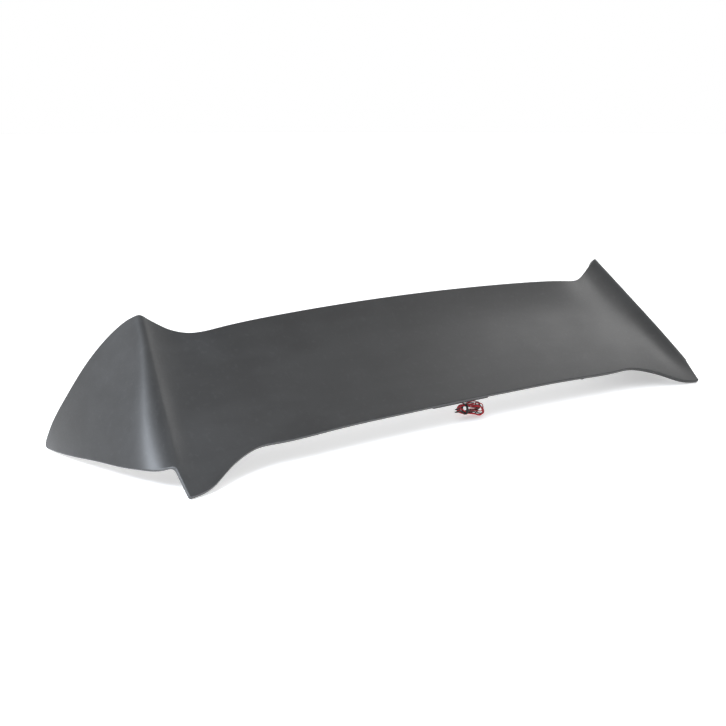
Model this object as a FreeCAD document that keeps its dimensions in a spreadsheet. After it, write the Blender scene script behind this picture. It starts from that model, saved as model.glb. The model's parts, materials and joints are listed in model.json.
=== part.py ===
import FreeCAD, Part
import math
import os

import Sketcher

from FreeCAD import Placement, Rotation, Vector

# Racing rear wing. It is drawn in the chord frame: X across the car, Y aft along the blade's chord,
# Z square to the chord. standing_pose turns that frame so that the legs and cheeks stand on Z = 0.

SIZES = {
    # outline of the blade, seen square to the chord
    "ridge_front_x": 548,
    "ridge_rear_x": 494,
    "ridge_length": 260,
    "lead_centre": 20,
    "lead_sweep": 9.5,
    "trail_centre": 240.5,
    "trail_sweep": 20,
    "half_sweep_at": 400,
    # heights of the blade's surface
    "centre_level": -14.3,
    "crown": 5.2,
    "dip": 3,
    "kick_length": 80,
    "ridge_round": 4.5,
    # side cheeks
    "cheek_slope": 0.66,
    "cheek_curve": 0.0011,
    # walls
    "skin": 3,
    "panel": 2.5,
    "rim": 6,
    "gap": 0.4,
    "tape": 2,
    # mounting
    "boss_x": 291,
    "boss_front": 33.5,
    "boss_rear": 52,
    "boss_radius": 15,
    "boss_low": -24.5,
    "seal_low": -26.5,
    "seal_hole": 8,
    "insert_radius": 4.5,
    "insert_length": 7,
    "thread_radius": 2.5,
    "pad_half": 64,
    "pad_front": 21,
    "pad_rear": 49,
    "pad_low": -25.5,
    # brake lamp
    "lamp_half": 146,
    "lamp_low": -30.7,
    "lamp_high": -14.3,
    "lamp_front": 224,
    "lamp_rear": 234.4,
    "lamp_wall": 1.2,
    "lamp_end": 10,
    "tray_wall": 2.5,
    "tray_front": 220.5,
    "lens_rear": 237.6,
    "gasket_front": 223.2,
    "board_front": 226.4,
    "board_rear": 227.6,
    "led_rear": 229.2,
    "led_pitch": 21,
    "led_half": 2.5,
    "reflector_front": 229.6,
    "reflector_rear": 233.6,
    "cone_radius": 4.5,
    "screw_x": 141,
    "screw_radius": 1.5,
    "screw_head": 2.8,
    "wire_hole": 3.5,
    # leads
    "lead_radius": 0.9,
    "lead_spread": 2,
    "grommet_x": 34,
    "grommet_chord": 70,
    "grommet_neck": 5,
    "grommet_flange": 7.5,
    "grommet_low": -35.5,
    "grommet_high": -27.5,
    "hank_left": 25,
    "hank_height": 12,
    "tie_at": 34.6,
    "tie_width": 4.6,
    "terminal_radius": 1.6,
    "terminal_long": 11,
}
LED_COUNT = 12
RIB_PLACES = (-330, -120, 120, 330)
SIDES = {"left": -1, "right": 1}

doc = FreeCAD.newDocument("rear_wing")
sheet = doc.addObject("Spreadsheet::Sheet", "sizes")
for row, (name, value) in enumerate(SIZES.items(), 1):
    sheet.set(f"A{row}", name)
    sheet.set(f"B{row}", str(value))
    sheet.setAlias(f"B{row}", name)
doc.recompute()


def size(name):
    return float(sheet.get(name))


# ---------------------------------------------------------------- blade and cheek surface


def ridge_x(chord):
    drift = size("ridge_front_x") - size("ridge_rear_x")
    return size("ridge_front_x") - drift * chord / size("ridge_length")


def lead_chord(x):
    return size("lead_centre") - size("lead_sweep") * (x / size("half_sweep_at")) ** 2


def trail_chord(x):
    return size("trail_centre") - size("trail_sweep") * (x / size("half_sweep_at")) ** 2


def smooth(value, low, high):
    part = min(max((value - low) / (high - low), 0), 1)
    return part * part * (3 - 2 * part)


def level(x, chord):
    """Height of the plain blade, without its kick and fins."""
    crown = size("crown") - 2 * smooth(chord, 20, 200)
    dip = size("dip") * smooth(chord, 0, 150)
    return size("centre_level") + crown * (x / size("half_sweep_at")) ** 2 - dip


def kick(x, chord):
    """Rise of the rear edge, which fades out beside the fins."""
    height = 10 + 1.4 * smooth(x, 100, 300)
    height *= 1 - smooth(x, 385, 440)
    part = 1 - (trail_chord(min(x, 400)) - chord) / size("kick_length")
    return height * max(part, 0) ** 1.6


def half_section(chord):
    """Control points of the right half of the skin's section at one chord station."""
    ridge = ridge_x(chord)
    fin = smooth(chord, -45, 30)
    points = []
    for x in (0, 120, 230, 320, 375, ridge - 90, ridge - 58):
        points.append((x, level(x, chord) + kick(x, chord)))
    edge = level(ridge, chord)
    top = size("ridge_round") - 3.5 * (1 - smooth(chord, 0, 110)) + 0.6 * smooth(chord, 130, 200)
    for inside, height in ((32, -11 + 2.5 * fin), (12, -3), (-1, top)):
        points.append((ridge - inside, edge + fin * (height - edge)))
    for depth in (13, 45, 90, 140, 195, 240, 275):
        bow = size("cheek_slope") * depth - size("cheek_curve") * depth * depth
        points.append((ridge + bow, -depth))
    return points


STATIONS = (-75, -35, 5, 50, 95, 135, 165, 190, 212, 232, 250, 270, 292)


def offset_section(points, depth):
    """Moves a section's control points inwards by depth, with mitred corners."""
    moved = []
    for index, (x, z) in enumerate(points):
        before = points[max(index - 1, 0)]
        after = points[min(index + 1, len(points) - 1)]
        normals = []
        for start, end in ((before, (x, z)), ((x, z), after)):
            length = math.hypot(end[0] - start[0], end[1] - start[1])
            if length > 0:
                normals.append(((end[1] - start[1]) / length, -(end[0] - start[0]) / length))
        total_x = sum(normal[0] for normal in normals)
        total_z = sum(normal[1] for normal in normals)
        length = math.hypot(total_x, total_z)
        mitre = 2 / length if len(normals) == 2 else 1
        reach = depth * mitre / length
        moved.append((x + total_x * reach, z + total_z * reach))
    moved[0] = (0, points[0][1] - depth)
    return moved


def net_face(rows):
    """A cubic B-spline face over rows of control points."""
    count_u = len(rows)
    count_v = len(rows[0])
    knots_u = list(range(count_u - 2))
    knots_v = list(range(count_v - 2))
    mults_u = [4] + [1] * (count_u - 4) + [4]
    mults_v = [4] + [1] * (count_v - 4) + [4]
    surface = Part.BSplineSurface()
    surface.buildFromPolesMultsKnots(rows, mults_u, mults_v, knots_u, knots_v, False, False, 3, 3)
    return surface.toShape()


def skin_face(depth):
    """The skin's outer surface, moved inwards by depth."""
    rows = []
    for chord in STATIONS:
        half = offset_section(half_section(chord), depth)
        left = [Vector(-x, chord, z) for x, z in reversed(half[1:])]
        right = [Vector(x, chord, z) for x, z in half]
        rows.append(left + right)
    return net_face(rows)


UNDER_X = (0, 130, 260, 370, 440, 480, 520, 580)
# Depth of the lower panel below the plain blade, along the chord, at the middle and beside the cheeks.
UNDER_STATIONS = (-10, 14, 30, 46, 62, 84, 116, 158, 200, 240, 275)
UNDER_DEPTH = (6.9, 6.9, 6.9, 7.6, 15, 21, 26, 28.5, 26, 21, 19)
UNDER_SIDE = (6.9, 6.9, 6.9, 7.6, 9, 12, 14.5, 16, 16, 16, 16)


def under_face(lift):
    """The lower panel's outer surface, raised by lift."""
    rows = []
    for chord, depth, side_depth in zip(UNDER_STATIONS, UNDER_DEPTH, UNDER_SIDE):
        half = []
        for x in UNDER_X:
            flat = min(x, 470)
            share = max(1 - (flat / 470) ** 2, 0)
            below = side_depth + (depth - side_depth) * share
            half.append((x, level(flat, chord) - below + lift))
        left = [Vector(-x, chord, z) for x, z in reversed(half[1:])]
        right = [Vector(x, chord, z) for x, z in half]
        rows.append(left + right)
    return net_face(rows)


DEEP = 600


def below_skin(depth):
    return skin_face(depth).extrude(Vector(0, 0, -DEEP))


def above_under(lift):
    return under_face(lift).extrude(Vector(0, 0, DEEP))


# ---------------------------------------------------------------- outlines


def spline(points):
    curve = Part.BSplineCurve()
    curve.interpolate(points)
    return curve.toShape()


def mirrored_run(points):
    """Points across the whole width, from those of the right half (the first lies on X = 0)."""
    return [(-x, y) for x, y in reversed(points[1:])] + points


def lead_points():
    run = [(x, lead_chord(x)) for x in (0, 130, 260, 370)]
    return run + [(402, 11), (427, 4), (452, -7), (476, -21), (497, -34), (517, -42), (544, -46.5)]


def trail_points():
    run = [(x, trail_chord(x)) for x in (0, 120, 240, 330)]
    return run + [(372, 223), (402, 221.5), (422, 224), (440, 231), (456, 239.5), (474, 250.5), (496, 262)]


def plan_edge(points, lift, shift=0):
    return spline([Vector(x, y + shift, lift) for x, y in points])


def line(start, end):
    return Part.LineSegment(start, end).toShape()


def prism(edges, direction):
    return Part.Face(Part.Wire(Part.__sortEdges__(edges))).extrude(direction)


def blade_prism():
    """The blade's plan outline, from the leg tips to the rear edge and out to the ridge lines."""
    low = -90
    lead = mirrored_run(lead_points())
    trail = mirrored_run(trail_points())
    edges = [plan_edge(lead, low), plan_edge(trail, low)]
    for side in SIDES.values():
        corners = [(544, -46.5), (545.5, 2), (ridge_x(2) + 2, 2), (496, 262)]
        points = [Vector(side * x, y, low) for x, y in corners]
        edges += [line(start, end) for start, end in zip(points, points[1:])]
    return prism(edges, Vector(0, 0, 130))


def cheek_edges(x, inset=0):
    """Lower and rear edges of a cheek's side outline. inset moves the lower edge up into the cheek."""
    lower = [(2, 4), (4.5, -7), (13, -23), (33, -48), (61, -79), (94, -113), (131, -154), (170, -198)]
    lower.append((200, -230))
    rear = [(219, -233), (229, -211), (243, -159), (256, -115), (265.5, -76), (269.5, -43), (268, -18)]
    rear.append((262, 0))
    lower = [Vector(x, y + 0.7 * inset, z + 0.7 * inset) for y, z in lower]
    rear = [Vector(x, y, z) for y, z in rear]
    corner = Part.Arc(lower[-1], Vector(x, 211, -238.5), rear[0]).toShape()
    if inset:
        corner = line(lower[-1], rear[0])
    return [spline(lower), corner, spline(rear)], lower[0], rear[-1]


def cheek_prism(side):
    edges, front, back = cheek_edges(side * 470)
    high_front = Vector(front.x, front.y, 30)
    high_back = Vector(back.x, back.y, 30)
    edges += [line(front, high_front), line(high_front, high_back), line(high_back, back)]
    body = prism(edges, Vector(side * 170, 0, 0))
    return body.common(cheek_zone(side))


def cheek_zone(side):
    corners = [(ridge_x(-20) + 2, -20), (660, -20), (660, 300), (ridge_x(300) + 2, 300)]
    points = [Vector(side * x, y, -340) for x, y in corners]
    return Part.Face(Part.makePolygon(points + points[:1])).extrude(Vector(0, 0, 400))


def plan_strip(points, width):
    """A strip between a plan curve and the same curve moved along the chord by width."""
    low = -90
    edges = [plan_edge(points, low), plan_edge(points, low, width)]
    for x, y in (points[0], points[-1]):
        edges.append(line(Vector(x, y, low), Vector(x, y + width, low)))
    return prism(edges, Vector(0, 0, 130))


def box(low, high):
    corner = Vector(*low)
    return Part.makeBox(high[0] - low[0], high[1] - low[1], high[2] - low[2], corner)


# ---------------------------------------------------------------- skins


def upper_skin():
    outer = below_skin(0)
    shell = outer.cut(below_skin(size("skin")))
    blade = blade_prism()
    skin = shell.common(blade)
    pieces = [shell.common(cheek_prism(side)) for side in SIDES.values()]
    front = plan_strip(mirrored_run(lead_points()), 1.15 * size("skin")).common(blade)
    pieces.append(front.common(outer).cut(below_skin(size("rim"))))
    for side in SIDES.values():
        pieces.append(leg_side(side).common(outer).cut(below_skin(size("rim"))))
    rear = plan_strip(mirrored_run(trail_points()), -size("skin")).common(blade)
    pieces.append(rear.common(outer).common(above_under(0)))
    half = size("lamp_half") + 3
    low = size("lamp_low") - size("tray_wall")
    high = size("lamp_high") + size("tray_wall")
    tray = box((-half, size("tray_front"), low), (half, 239, high)).common(below_skin(1)).common(blade)
    pieces.append(tray)
    skin = skin.fuse(pieces)
    half = size("lamp_half") + 0.3
    floor = size("tray_front") + size("tray_wall")
    skin = skin.cut(box((-half, floor, size("lamp_low") - 0.3), (half, 260, size("lamp_high") + 0.3)))
    middle = (size("lamp_low") + size("lamp_high")) / 2
    aft = Vector(0, 1, 0)
    holes = [Part.makeCylinder(size("wire_hole"), 10, Vector(0, size("tray_front") - 3, middle), aft)]
    for side in SIDES.values():
        start = Vector(side * size("screw_x"), size("tray_front") - 3, middle)
        holes.append(Part.makeCylinder(size("screw_radius") + 0.05, 10, start, aft))
    return skin.cut(holes).removeSplitter()


def leg_side(side):
    """The rim along the outer side of a leg."""
    corners = [(544, -46.5), (545.5, 2), (542.5, 2), (541, -46.5)]
    points = [Vector(side * x, y, -90) for x, y in corners]
    return Part.Face(Part.makePolygon(points + points[:1])).extrude(Vector(0, 0, 130))


def panel_prism():
    """Plan outline of the lower panel, clear of the rims round it."""
    low = -90
    inset = 1.15 * size("skin") + size("gap")
    lead = [(x, lead_chord(x) + inset) for x in (0, 130, 260, 370)]
    lead += [(x, 13.5) for x in (420, 480, 560)]
    trail = [(x, y - size("skin") - size("gap")) for x, y in trail_points()]
    trail.append((560, 290))
    edges = [plan_edge(mirrored_run(lead), low), plan_edge(mirrored_run(trail), low)]
    for side in SIDES.values():
        edges.append(line(Vector(side * 560, 13.5, low), Vector(side * 560, 290, low)))
    return prism(edges, Vector(0, 0, 130))


def lower_skin():
    """The panel that closes the blade from below, with a flange up behind each leg."""
    limit = below_skin(size("skin") + size("gap"))
    above = above_under(0)
    sheet_metal = above.cut(above_under(size("panel")))
    outline = panel_prism()
    skin = sheet_metal.common(outline).common(limit)
    flanges = []
    for side in SIDES.values():
        wall = box((min(side * 400, side * 550), 13.6, -60), (max(side * 400, side * 550), 16.1, 20))
        flanges.append(wall.common(above).common(limit))
    skin = skin.fuse(flanges)
    half = size("lamp_half") + 3 + size("gap")
    low = size("lamp_low") - size("tray_wall") - size("gap")
    skin = skin.cut(box((-half, size("tray_front") - size("gap"), low), (half, 260, 0)))
    down = Vector(0, 0, 1)
    start = Vector(size("grommet_x"), size("grommet_chord"), -60)
    holes = [Part.makeCylinder(size("grommet_neck") + 0.05, 50, start, down)]
    flange = size("grommet_flange") + 0.3
    holes.append(Part.makeCylinder(flange, 60 + size("grommet_low") + 2.05, start, down))
    start.z = size("grommet_high") - 1.05
    holes.append(Part.makeCylinder(flange, 8, start, down))
    for side in SIDES.values():
        start = Vector(side * size("boss_x"), size("boss_rear"), -60)
        holes.append(Part.makeCylinder(size("insert_radius") + 0.05, 50, start, down))
    return skin.cut(holes).removeSplitter()


def bond_strip():
    """The adhesive between the skins behind the front edge."""
    inset = 1.15 * size("skin") + size("gap") + 0.5
    points = mirrored_run([(x, lead_chord(x) + inset) for x in (0, 130, 260, 370)] + [(400, 16)])
    strip = plan_strip(points, 16)
    return strip.common(below_skin(size("skin") + 0.05)).common(above_under(size("panel") + 0.05))


def tape_layer():
    return below_skin(size("skin") + 0.05).cut(below_skin(size("skin") + size("tape")))


def leg_tape(side, layer):
    corners = [(536, -38), (539, -6), (500, -6), (490, -20), (508, -34)]
    points = [Vector(side * x, y, -90) for x, y in corners]
    zone = Part.Face(Part.makePolygon(points + points[:1])).extrude(Vector(0, 0, 130))
    return layer.common(zone)


def cheek_tape(side, layer):
    """Foam tape inside a cheek, between two copies of its lower edge moved up."""
    strip = []
    for inset in (4, 16):
        edges, front, back = cheek_edges(side * 470, inset)
        strip.append(edges[0])
    first, last = strip
    joined = []
    for index in (0, 1):
        ends = [edge.valueAt(edge.ParameterRange[index]) for edge in (first, last)]
        joined.append(line(*ends))
    band = prism(strip + joined, Vector(side * 170, 0, 0)).common(cheek_zone(side))
    trimmed = band.cut(box((min(side * 400, side * 700), -50, -40), (max(side * 400, side * 700), 60, 50)))
    return layer.common(trimmed)


# ---------------------------------------------------------------- leads


def tube(name, points, radius):
    """A lead: straight runs joined by tangent arcs, each as large as its two runs allow."""
    edges = []
    radii = []
    start = points[0]
    for before, corner, after in zip(points, points[1:], points[2:]):
        back = before - corner
        ahead = after - corner
        turn = math.pi - back.getAngle(ahead)
        run = 0.45 * min(back.Length, ahead.Length)
        radii.append(run / math.tan(turn / 2))
        back.normalize()
        ahead.normalize()
        enter = corner + back * run
        leave = corner + ahead * run
        towards = back + ahead
        towards.normalize()
        middle = corner + towards * (radii[-1] / math.cos(turn / 2) - radii[-1])
        edges.append(line(start, enter))
        edges.append(Part.Arc(enter, middle, leave).toShape())
        start = leave
    edges.append(line(start, points[-1]))
    path = Part.Wire(edges)
    ring = Part.Wire(Part.makeCircle(radius, points[0], points[1] - points[0]))
    solid = path.makePipeShell([ring], True, False)
    share = solid.Volume / (math.pi * radius * radius * path.Length)
    print(name, "length", round(path.Length, 1), "volume", round(share, 3))
    print("radii", [round(r, 1) for r in radii])
    return solid


# Routes of the leads. The inner ones are in the chord frame, the outer ones on the floor.
INNER_ROUTES = {
    "red": [
        (-1.6, 226.3, -22.5), (-1.6, 213, -22.8), (0, 199, -27.5), (3, 184, -34), (8, 168, -38.6),
        (13, 150, -40.6), (18, 132, -39.8), (24, 114, -37), (29, 97, -31.5), (31, 83, -24.5),
        (32, 76.5, -21.8), (32, 71.6, -22.6), (32, 70, -27.4),
    ],
    "black": [
        (1.6, 226.3, -22.5), (1.8, 214, -23), (4.5, 200, -28.4), (8, 186, -34.6), (12, 170, -39),
        (18, 152, -40.8), (24, 134, -40), (29, 116, -37.4), (34, 99, -32), (36, 84, -24.8), (36, 76.8, -21.8),
        (36, 71.6, -22.6), (36, 70, -27.4),
    ],
}
DROP_ROUTES = {
    "red": [
        (32, -61.2, 53.2), (31.6, -59.6, 45.6), (31.2, -61.2, 37.9), (31.5, -65.6, 31), (32.2, -70.6, 25.6),
        (33, -73.6, 22.2),
    ],
    "black": [
        (36.2, -61, 53.1), (37, -59.2, 45.4), (37.8, -60.8, 37.8), (38, -65.8, 31.6), (37.8, -71, 26.8),
        (37.4, -75.6, 23),
    ],
}


def inner_lead(colour):
    points = [Vector(*point) for point in INNER_ROUTES[colour]]
    return tube(f"inner_lead_{colour}", points, size("lead_radius"))


def drop(colour, pose):
    """The lead from the grommet's lower face to the hank."""
    side = -1 if colour == "red" else 1
    x = size("grommet_x") + side * size("lead_spread")
    leave = pose.multVec(Vector(x, size("grommet_chord"), size("grommet_low")))
    points = [leave] + [Vector(*point) for point in DROP_ROUTES[colour]]
    return tube(f"drop_{colour}", points, size("lead_radius"))


# Sections of the hank: place along X, middle in Y, half width and half height.
HANK_STATIONS = (
    (0, -75.4, 2.6, 4.6), (3, -76.2, 4.4, 7.2), (8, -77.8, 5.4, 8.4), (15, -80.4, 6.2, 8.9),
    (26, -86.6, 8.8, 10.2), (36, -91, 9.6, 10.8), (42, -93, 8, 8.8), (45.5, -94, 5, 5.4),
)


def ellipse_ring(x, y, half_y, half_z):
    centre = Vector(x, y, size("hank_height"))
    edge = Part.Ellipse(centre, half_z, half_y).toShape()
    edge.rotate(centre, Vector(0, 1, 0), 90)
    return Part.Wire(edge)


def hank_solid():
    """Outer shape of the wound leads: gathered at the tie and fanned out towards +X."""
    left = size("hank_left")
    rings = [ellipse_ring(left + along, y, half_y, half_z) for along, y, half_y, half_z in HANK_STATIONS]
    return Part.makeLoft(rings, True)


def hank_tie(hank):
    """A band round the hank, leaning with it."""
    band = Part.Face(ellipse_ring(size("tie_at"), -80.2, 7, 9.7))
    return band.extrude(Vector(size("tie_width"), -1.6, 0)).cut(hank)


# ---------------------------------------------------------------- document objects


def feature(label, shape):
    item = doc.addObject("Part::Feature", label)
    item.Shape = shape
    item.Label = label
    return item


def place(item, x, y, z):
    for axis, expression in (("x", x), ("y", y), ("z", z)):
        item.setExpression(f"Placement.Base.{axis}", expression)


def cylinder(name, x, y, low, high, radius):
    item = doc.addObject("Part::Cylinder", name)
    item.setExpression("Radius", radius)
    item.setExpression("Height", f"({high}) - ({low})")
    place(item, x, y, low)
    return item


def block(name, x, y, z):
    """A Part::Box from three pairs of expressions."""
    item = doc.addObject("Part::Box", name)
    for prop, (low, high) in (("Length", x), ("Width", y), ("Height", z)):
        item.setExpression(prop, f"({high}) - ({low})")
    place(item, x[0], y[0], z[0])
    return item


def fused(label, items):
    item = doc.addObject("Part::MultiFuse", label)
    item.Shapes = items
    return item


def cut(label, base, tool):
    item = doc.addObject("Part::Cut", label)
    item.Base = base
    item.Tool = tool
    return item


def common(label, first, second):
    item = doc.addObject("Part::Common", label)
    item.Base = first
    item.Tool = second
    return item


def oblong(name, side, low, high, radius):
    """A stadium-shaped block on a boss's outline."""
    x = f"{side} * sizes.boss_x"
    front = cylinder(name + "_front", x, "sizes.boss_front", low, high, radius)
    rear = cylinder(name + "_rear", x, "sizes.boss_rear", low, high, radius)
    width = (f"{x} - {radius}", f"{x} + {radius}")
    middle = block(name + "_middle", width, ("sizes.boss_front", "sizes.boss_rear"), (low, high))
    return fused(name, [front, middle, rear])


def mounting(side_name, side, under):
    x = f"{side} * sizes.boss_x"
    radius = "sizes.boss_radius"
    column = oblong(f"boss_column_{side_name}", side, "sizes.boss_low", "-15", radius)
    solid = common(f"boss_solid_{side_name}", column, under)
    bore = cylinder(f"boss_bore_{side_name}", x, "sizes.boss_rear", "-60", "0", "sizes.insert_radius + 0.05")
    boss = cut(f"mount_boss_{side_name}", solid, bore)
    ring = oblong(f"seal_solid_{side_name}", side, "sizes.seal_low", "sizes.boss_low - 0.05", radius)
    eye = cylinder(f"seal_eye_{side_name}", x, "sizes.boss_rear", "-60", "0", "sizes.seal_hole")
    seal = cut(f"boss_seal_{side_name}", ring, eye)
    top = "sizes.boss_low + sizes.insert_length"
    y = "sizes.boss_rear"
    barrel = cylinder(f"insert_barrel_{side_name}", x, y, "sizes.boss_low", top, "sizes.insert_radius")
    thread = cylinder(f"insert_thread_{side_name}", x, y, "-60", "0", "sizes.thread_radius")
    insert = cut(f"insert_{side_name}", barrel, thread)
    return [boss, seal, insert]


def centre_pad(under):
    x = ("-sizes.pad_half", "sizes.pad_half")
    column = block("pad_column", x, ("sizes.pad_front", "sizes.pad_rear"), ("sizes.pad_low", "-10"))
    rounded = doc.addObject("Part::Fillet", "pad_rounded")
    rounded.Base = column
    doc.recompute()
    upright = []
    for index, edge in enumerate(column.Shape.Edges, 1):
        low, high = [vertex.Point for vertex in edge.Vertexes]
        if abs(low.z - high.z) > 1:
            upright.append((index, 6, 6))
    rounded.Edges = upright
    return common("centre_pad", rounded, under)


def support_ribs(cavity):
    blocks = []
    for number, x in enumerate(RIB_PLACES):
        blocks.append(block(f"rib_{number}", (f"{x} - 1.5", f"{x} + 1.5"), ("66", "214"), ("-70", "20")))
    return common("support_ribs", fused("rib_blocks", blocks), cavity)


def grommet():
    x, y = "sizes.grommet_x", "sizes.grommet_chord"
    low, high = "sizes.grommet_low", "sizes.grommet_high"
    neck = cylinder("grommet_stem", x, y, low, high, "sizes.grommet_neck")
    bottom = cylinder("grommet_bottom", x, y, low, f"{low} + 2", "sizes.grommet_flange")
    top = cylinder("grommet_top", x, y, f"{high} - 1", high, "sizes.grommet_flange")
    body = fused("grommet_body", [neck, bottom, top])
    bores = []
    for name, side in (("red", -1), ("black", 1)):
        spot = f"{x} + {side} * sizes.lead_spread"
        bores.append(cylinder(f"grommet_bore_{name}", spot, y, "-60", "0", "sizes.lead_radius + 0.05"))
    return cut("lead_grommet", body, fused("grommet_bores", bores))


def new_body(label):
    body = doc.addObject("PartDesign::Body", label)
    body.AllowCompound = True
    return body


def plane(body, role):
    return next(item for item in body.Origin.OriginFeatures if item.Role == role)


def new_sketch(body, name, role, offset="0"):
    sketch = body.newObject("Sketcher::SketchObject", name)
    sketch.AttachmentSupport = [(plane(body, role), "")]
    sketch.MapMode = "FlatFace"
    sketch.setExpression("AttachmentOffset.Base.z", offset)
    return sketch


def set_distance(sketch, kind, geometry, point, expression):
    number = sketch.addConstraint(Sketcher.Constraint(kind, geometry, point, 1.0))
    sketch.setExpression(f"Constraints[{number}]", expression)


def rectangle(sketch, x, y):
    """A rectangle between two pairs of expressions, each one's low end first."""
    corners = [Vector(0, 0, 0), Vector(1, 0, 0), Vector(1, 1, 0), Vector(0, 1, 0)]
    for index in range(4):
        sketch.addGeometry(Part.LineSegment(corners[index], corners[(index + 1) % 4]), False)
    base = len(sketch.Geometry) - 4
    for index in range(4):
        follow = base + (index + 1) % 4
        sketch.addConstraint(Sketcher.Constraint("Coincident", base + index, 2, follow, 1))
    for index in (0, 2):
        sketch.addConstraint(Sketcher.Constraint("Horizontal", base + index))
        sketch.addConstraint(Sketcher.Constraint("Vertical", base + index + 1))
    set_distance(sketch, "DistanceX", base, 1, x[0])
    set_distance(sketch, "DistanceX", base + 1, 1, x[1])
    set_distance(sketch, "DistanceY", base, 1, y[0])
    set_distance(sketch, "DistanceY", base + 2, 1, y[1])


def circle(sketch, x, y, radius):
    number = sketch.addGeometry(Part.Circle(Vector(0, 0, 0), Vector(0, 0, 1), 1), False)
    set_distance(sketch, "DistanceX", number, 3, x)
    set_distance(sketch, "DistanceY", number, 3, y)
    constraint = sketch.addConstraint(Sketcher.Constraint("Radius", number, 1.0))
    sketch.setExpression(f"Constraints[{constraint}]", radius)


def pad(body, sketch, length):
    item = body.newObject("PartDesign::Pad", sketch.Name + "_pad")
    item.Profile = sketch
    item.setExpression("Length", length)
    return item


def pocket(body, sketch, length, reverse=False):
    item = body.newObject("PartDesign::Pocket", sketch.Name + "_pocket")
    item.Profile = sketch
    item.Reversed = reverse
    item.setExpression("Length", length)
    return item


LAMP_MIDDLE = "(sizes.lamp_low + sizes.lamp_high) / 2"
INNER_END = "sizes.lamp_end - 1.5"
INNER_SIDE = "sizes.lamp_wall + 0.2"


def lamp_bar(label, front, rear, inset="0"):
    """A straight bar of the lamp: the lamp's front view, inset at its ends and sides, padded aft."""
    body = new_body(label)
    sketch = new_sketch(body, label + "_outline", "XZ_Plane", f"-({rear})")
    end = f"sizes.lamp_half - {INNER_END}" if inset != "0" else "sizes.lamp_half"
    rectangle(sketch, (f"-({end})", end), (f"sizes.lamp_low + {inset}", f"sizes.lamp_high - ({inset})"))
    pad(body, sketch, f"({rear}) - ({front})")
    return body


def lamp_housing():
    wall = "sizes.lamp_wall"
    body = lamp_bar("lamp_housing", "sizes.lamp_front", "sizes.lamp_rear")
    sketch = new_sketch(body, "housing_hollow", "XZ_Plane", "-(sizes.lamp_rear + 1)")
    half = "sizes.lamp_half - sizes.lamp_end"
    rectangle(sketch, (f"-({half})", half), (f"sizes.lamp_low + {wall}", f"sizes.lamp_high - {wall}"))
    pocket(body, sketch, f"sizes.lamp_rear + 1 - sizes.lamp_front - {wall}", True)
    sketch = new_sketch(body, "housing_holes", "XZ_Plane", "-(sizes.lamp_rear + 1)")
    circle(sketch, "0", LAMP_MIDDLE, "sizes.wire_hole")
    circle(sketch, "sizes.screw_x", LAMP_MIDDLE, "sizes.screw_radius + 0.05")
    circle(sketch, "-sizes.screw_x", LAMP_MIDDLE, "sizes.screw_radius + 0.05")
    pocket(body, sketch, "30", True)
    return body


def lamp_lens():
    body = lamp_bar("lamp_lens", "sizes.lamp_rear", "sizes.lens_rear")
    sketch = new_sketch(body, "lens_holes", "XZ_Plane", "-(sizes.lens_rear + 1)")
    circle(sketch, "sizes.screw_x", LAMP_MIDDLE, "sizes.screw_head + 0.05")
    circle(sketch, "-sizes.screw_x", LAMP_MIDDLE, "sizes.screw_head + 0.05")
    pocket(body, sketch, "30", True)
    return body


def lamp_gasket():
    body = lamp_bar("lamp_gasket", "sizes.gasket_front", "sizes.lamp_front - 0.05")
    sketch = new_sketch(body, "gasket_eyes", "XZ_Plane", "-(sizes.lamp_rear)")
    circle(sketch, "0", LAMP_MIDDLE, "sizes.wire_hole")
    circle(sketch, "sizes.screw_x", LAMP_MIDDLE, "sizes.screw_radius + 0.05")
    circle(sketch, "-sizes.screw_x", LAMP_MIDDLE, "sizes.screw_radius + 0.05")
    pocket(body, sketch, "30", True)
    return body


def row_pattern(body, feature_item, sketch):
    pattern = body.newObject("PartDesign::LinearPattern", body.Name + "_row")
    pattern.Originals = [feature_item]
    pattern.Direction = (sketch, ["H_Axis"])
    pattern.Occurrences = LED_COUNT
    pattern.setExpression("Length", f"{LED_COUNT - 1} * sizes.led_pitch")
    body.Tip = pattern


def lamp_leds():
    body = new_body("lamp_leds")
    sketch = new_sketch(body, "led_outline", "XZ_Plane", "-sizes.led_rear")
    start = f"-{(LED_COUNT - 1) / 2} * sizes.led_pitch"
    x = (f"{start} - sizes.led_half", f"{start} + sizes.led_half")
    rectangle(sketch, x, (f"{LAMP_MIDDLE} - sizes.led_half", f"{LAMP_MIDDLE} + sizes.led_half"))
    chip = pad(body, sketch, "sizes.led_rear - sizes.board_rear")
    doc.recompute()
    row_pattern(body, chip, sketch)
    return body


def lamp_reflector():
    body = lamp_bar("lamp_reflector", "sizes.reflector_front", "sizes.reflector_rear", INNER_SIDE)
    sketch = new_sketch(body, "reflector_cup", "XZ_Plane", "-sizes.reflector_rear")
    circle(sketch, f"-{(LED_COUNT - 1) / 2} * sizes.led_pitch", LAMP_MIDDLE, "sizes.cone_radius")
    cup = pocket(body, sketch, "10", True)
    doc.recompute()
    row_pattern(body, cup, sketch)
    return body


def terminal(colour, y, z):
    """A crimped terminal on a lead's end, lying along X out of the hank."""
    body = new_body(f"terminal_{colour}")
    start = "sizes.hank_left - sizes.terminal_long - 0.1"
    sketch = new_sketch(body, f"terminal_{colour}_ring", "YZ_Plane", start)
    circle(sketch, y, z, "sizes.terminal_radius")
    pad(body, sketch, "sizes.terminal_long")
    return body


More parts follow.
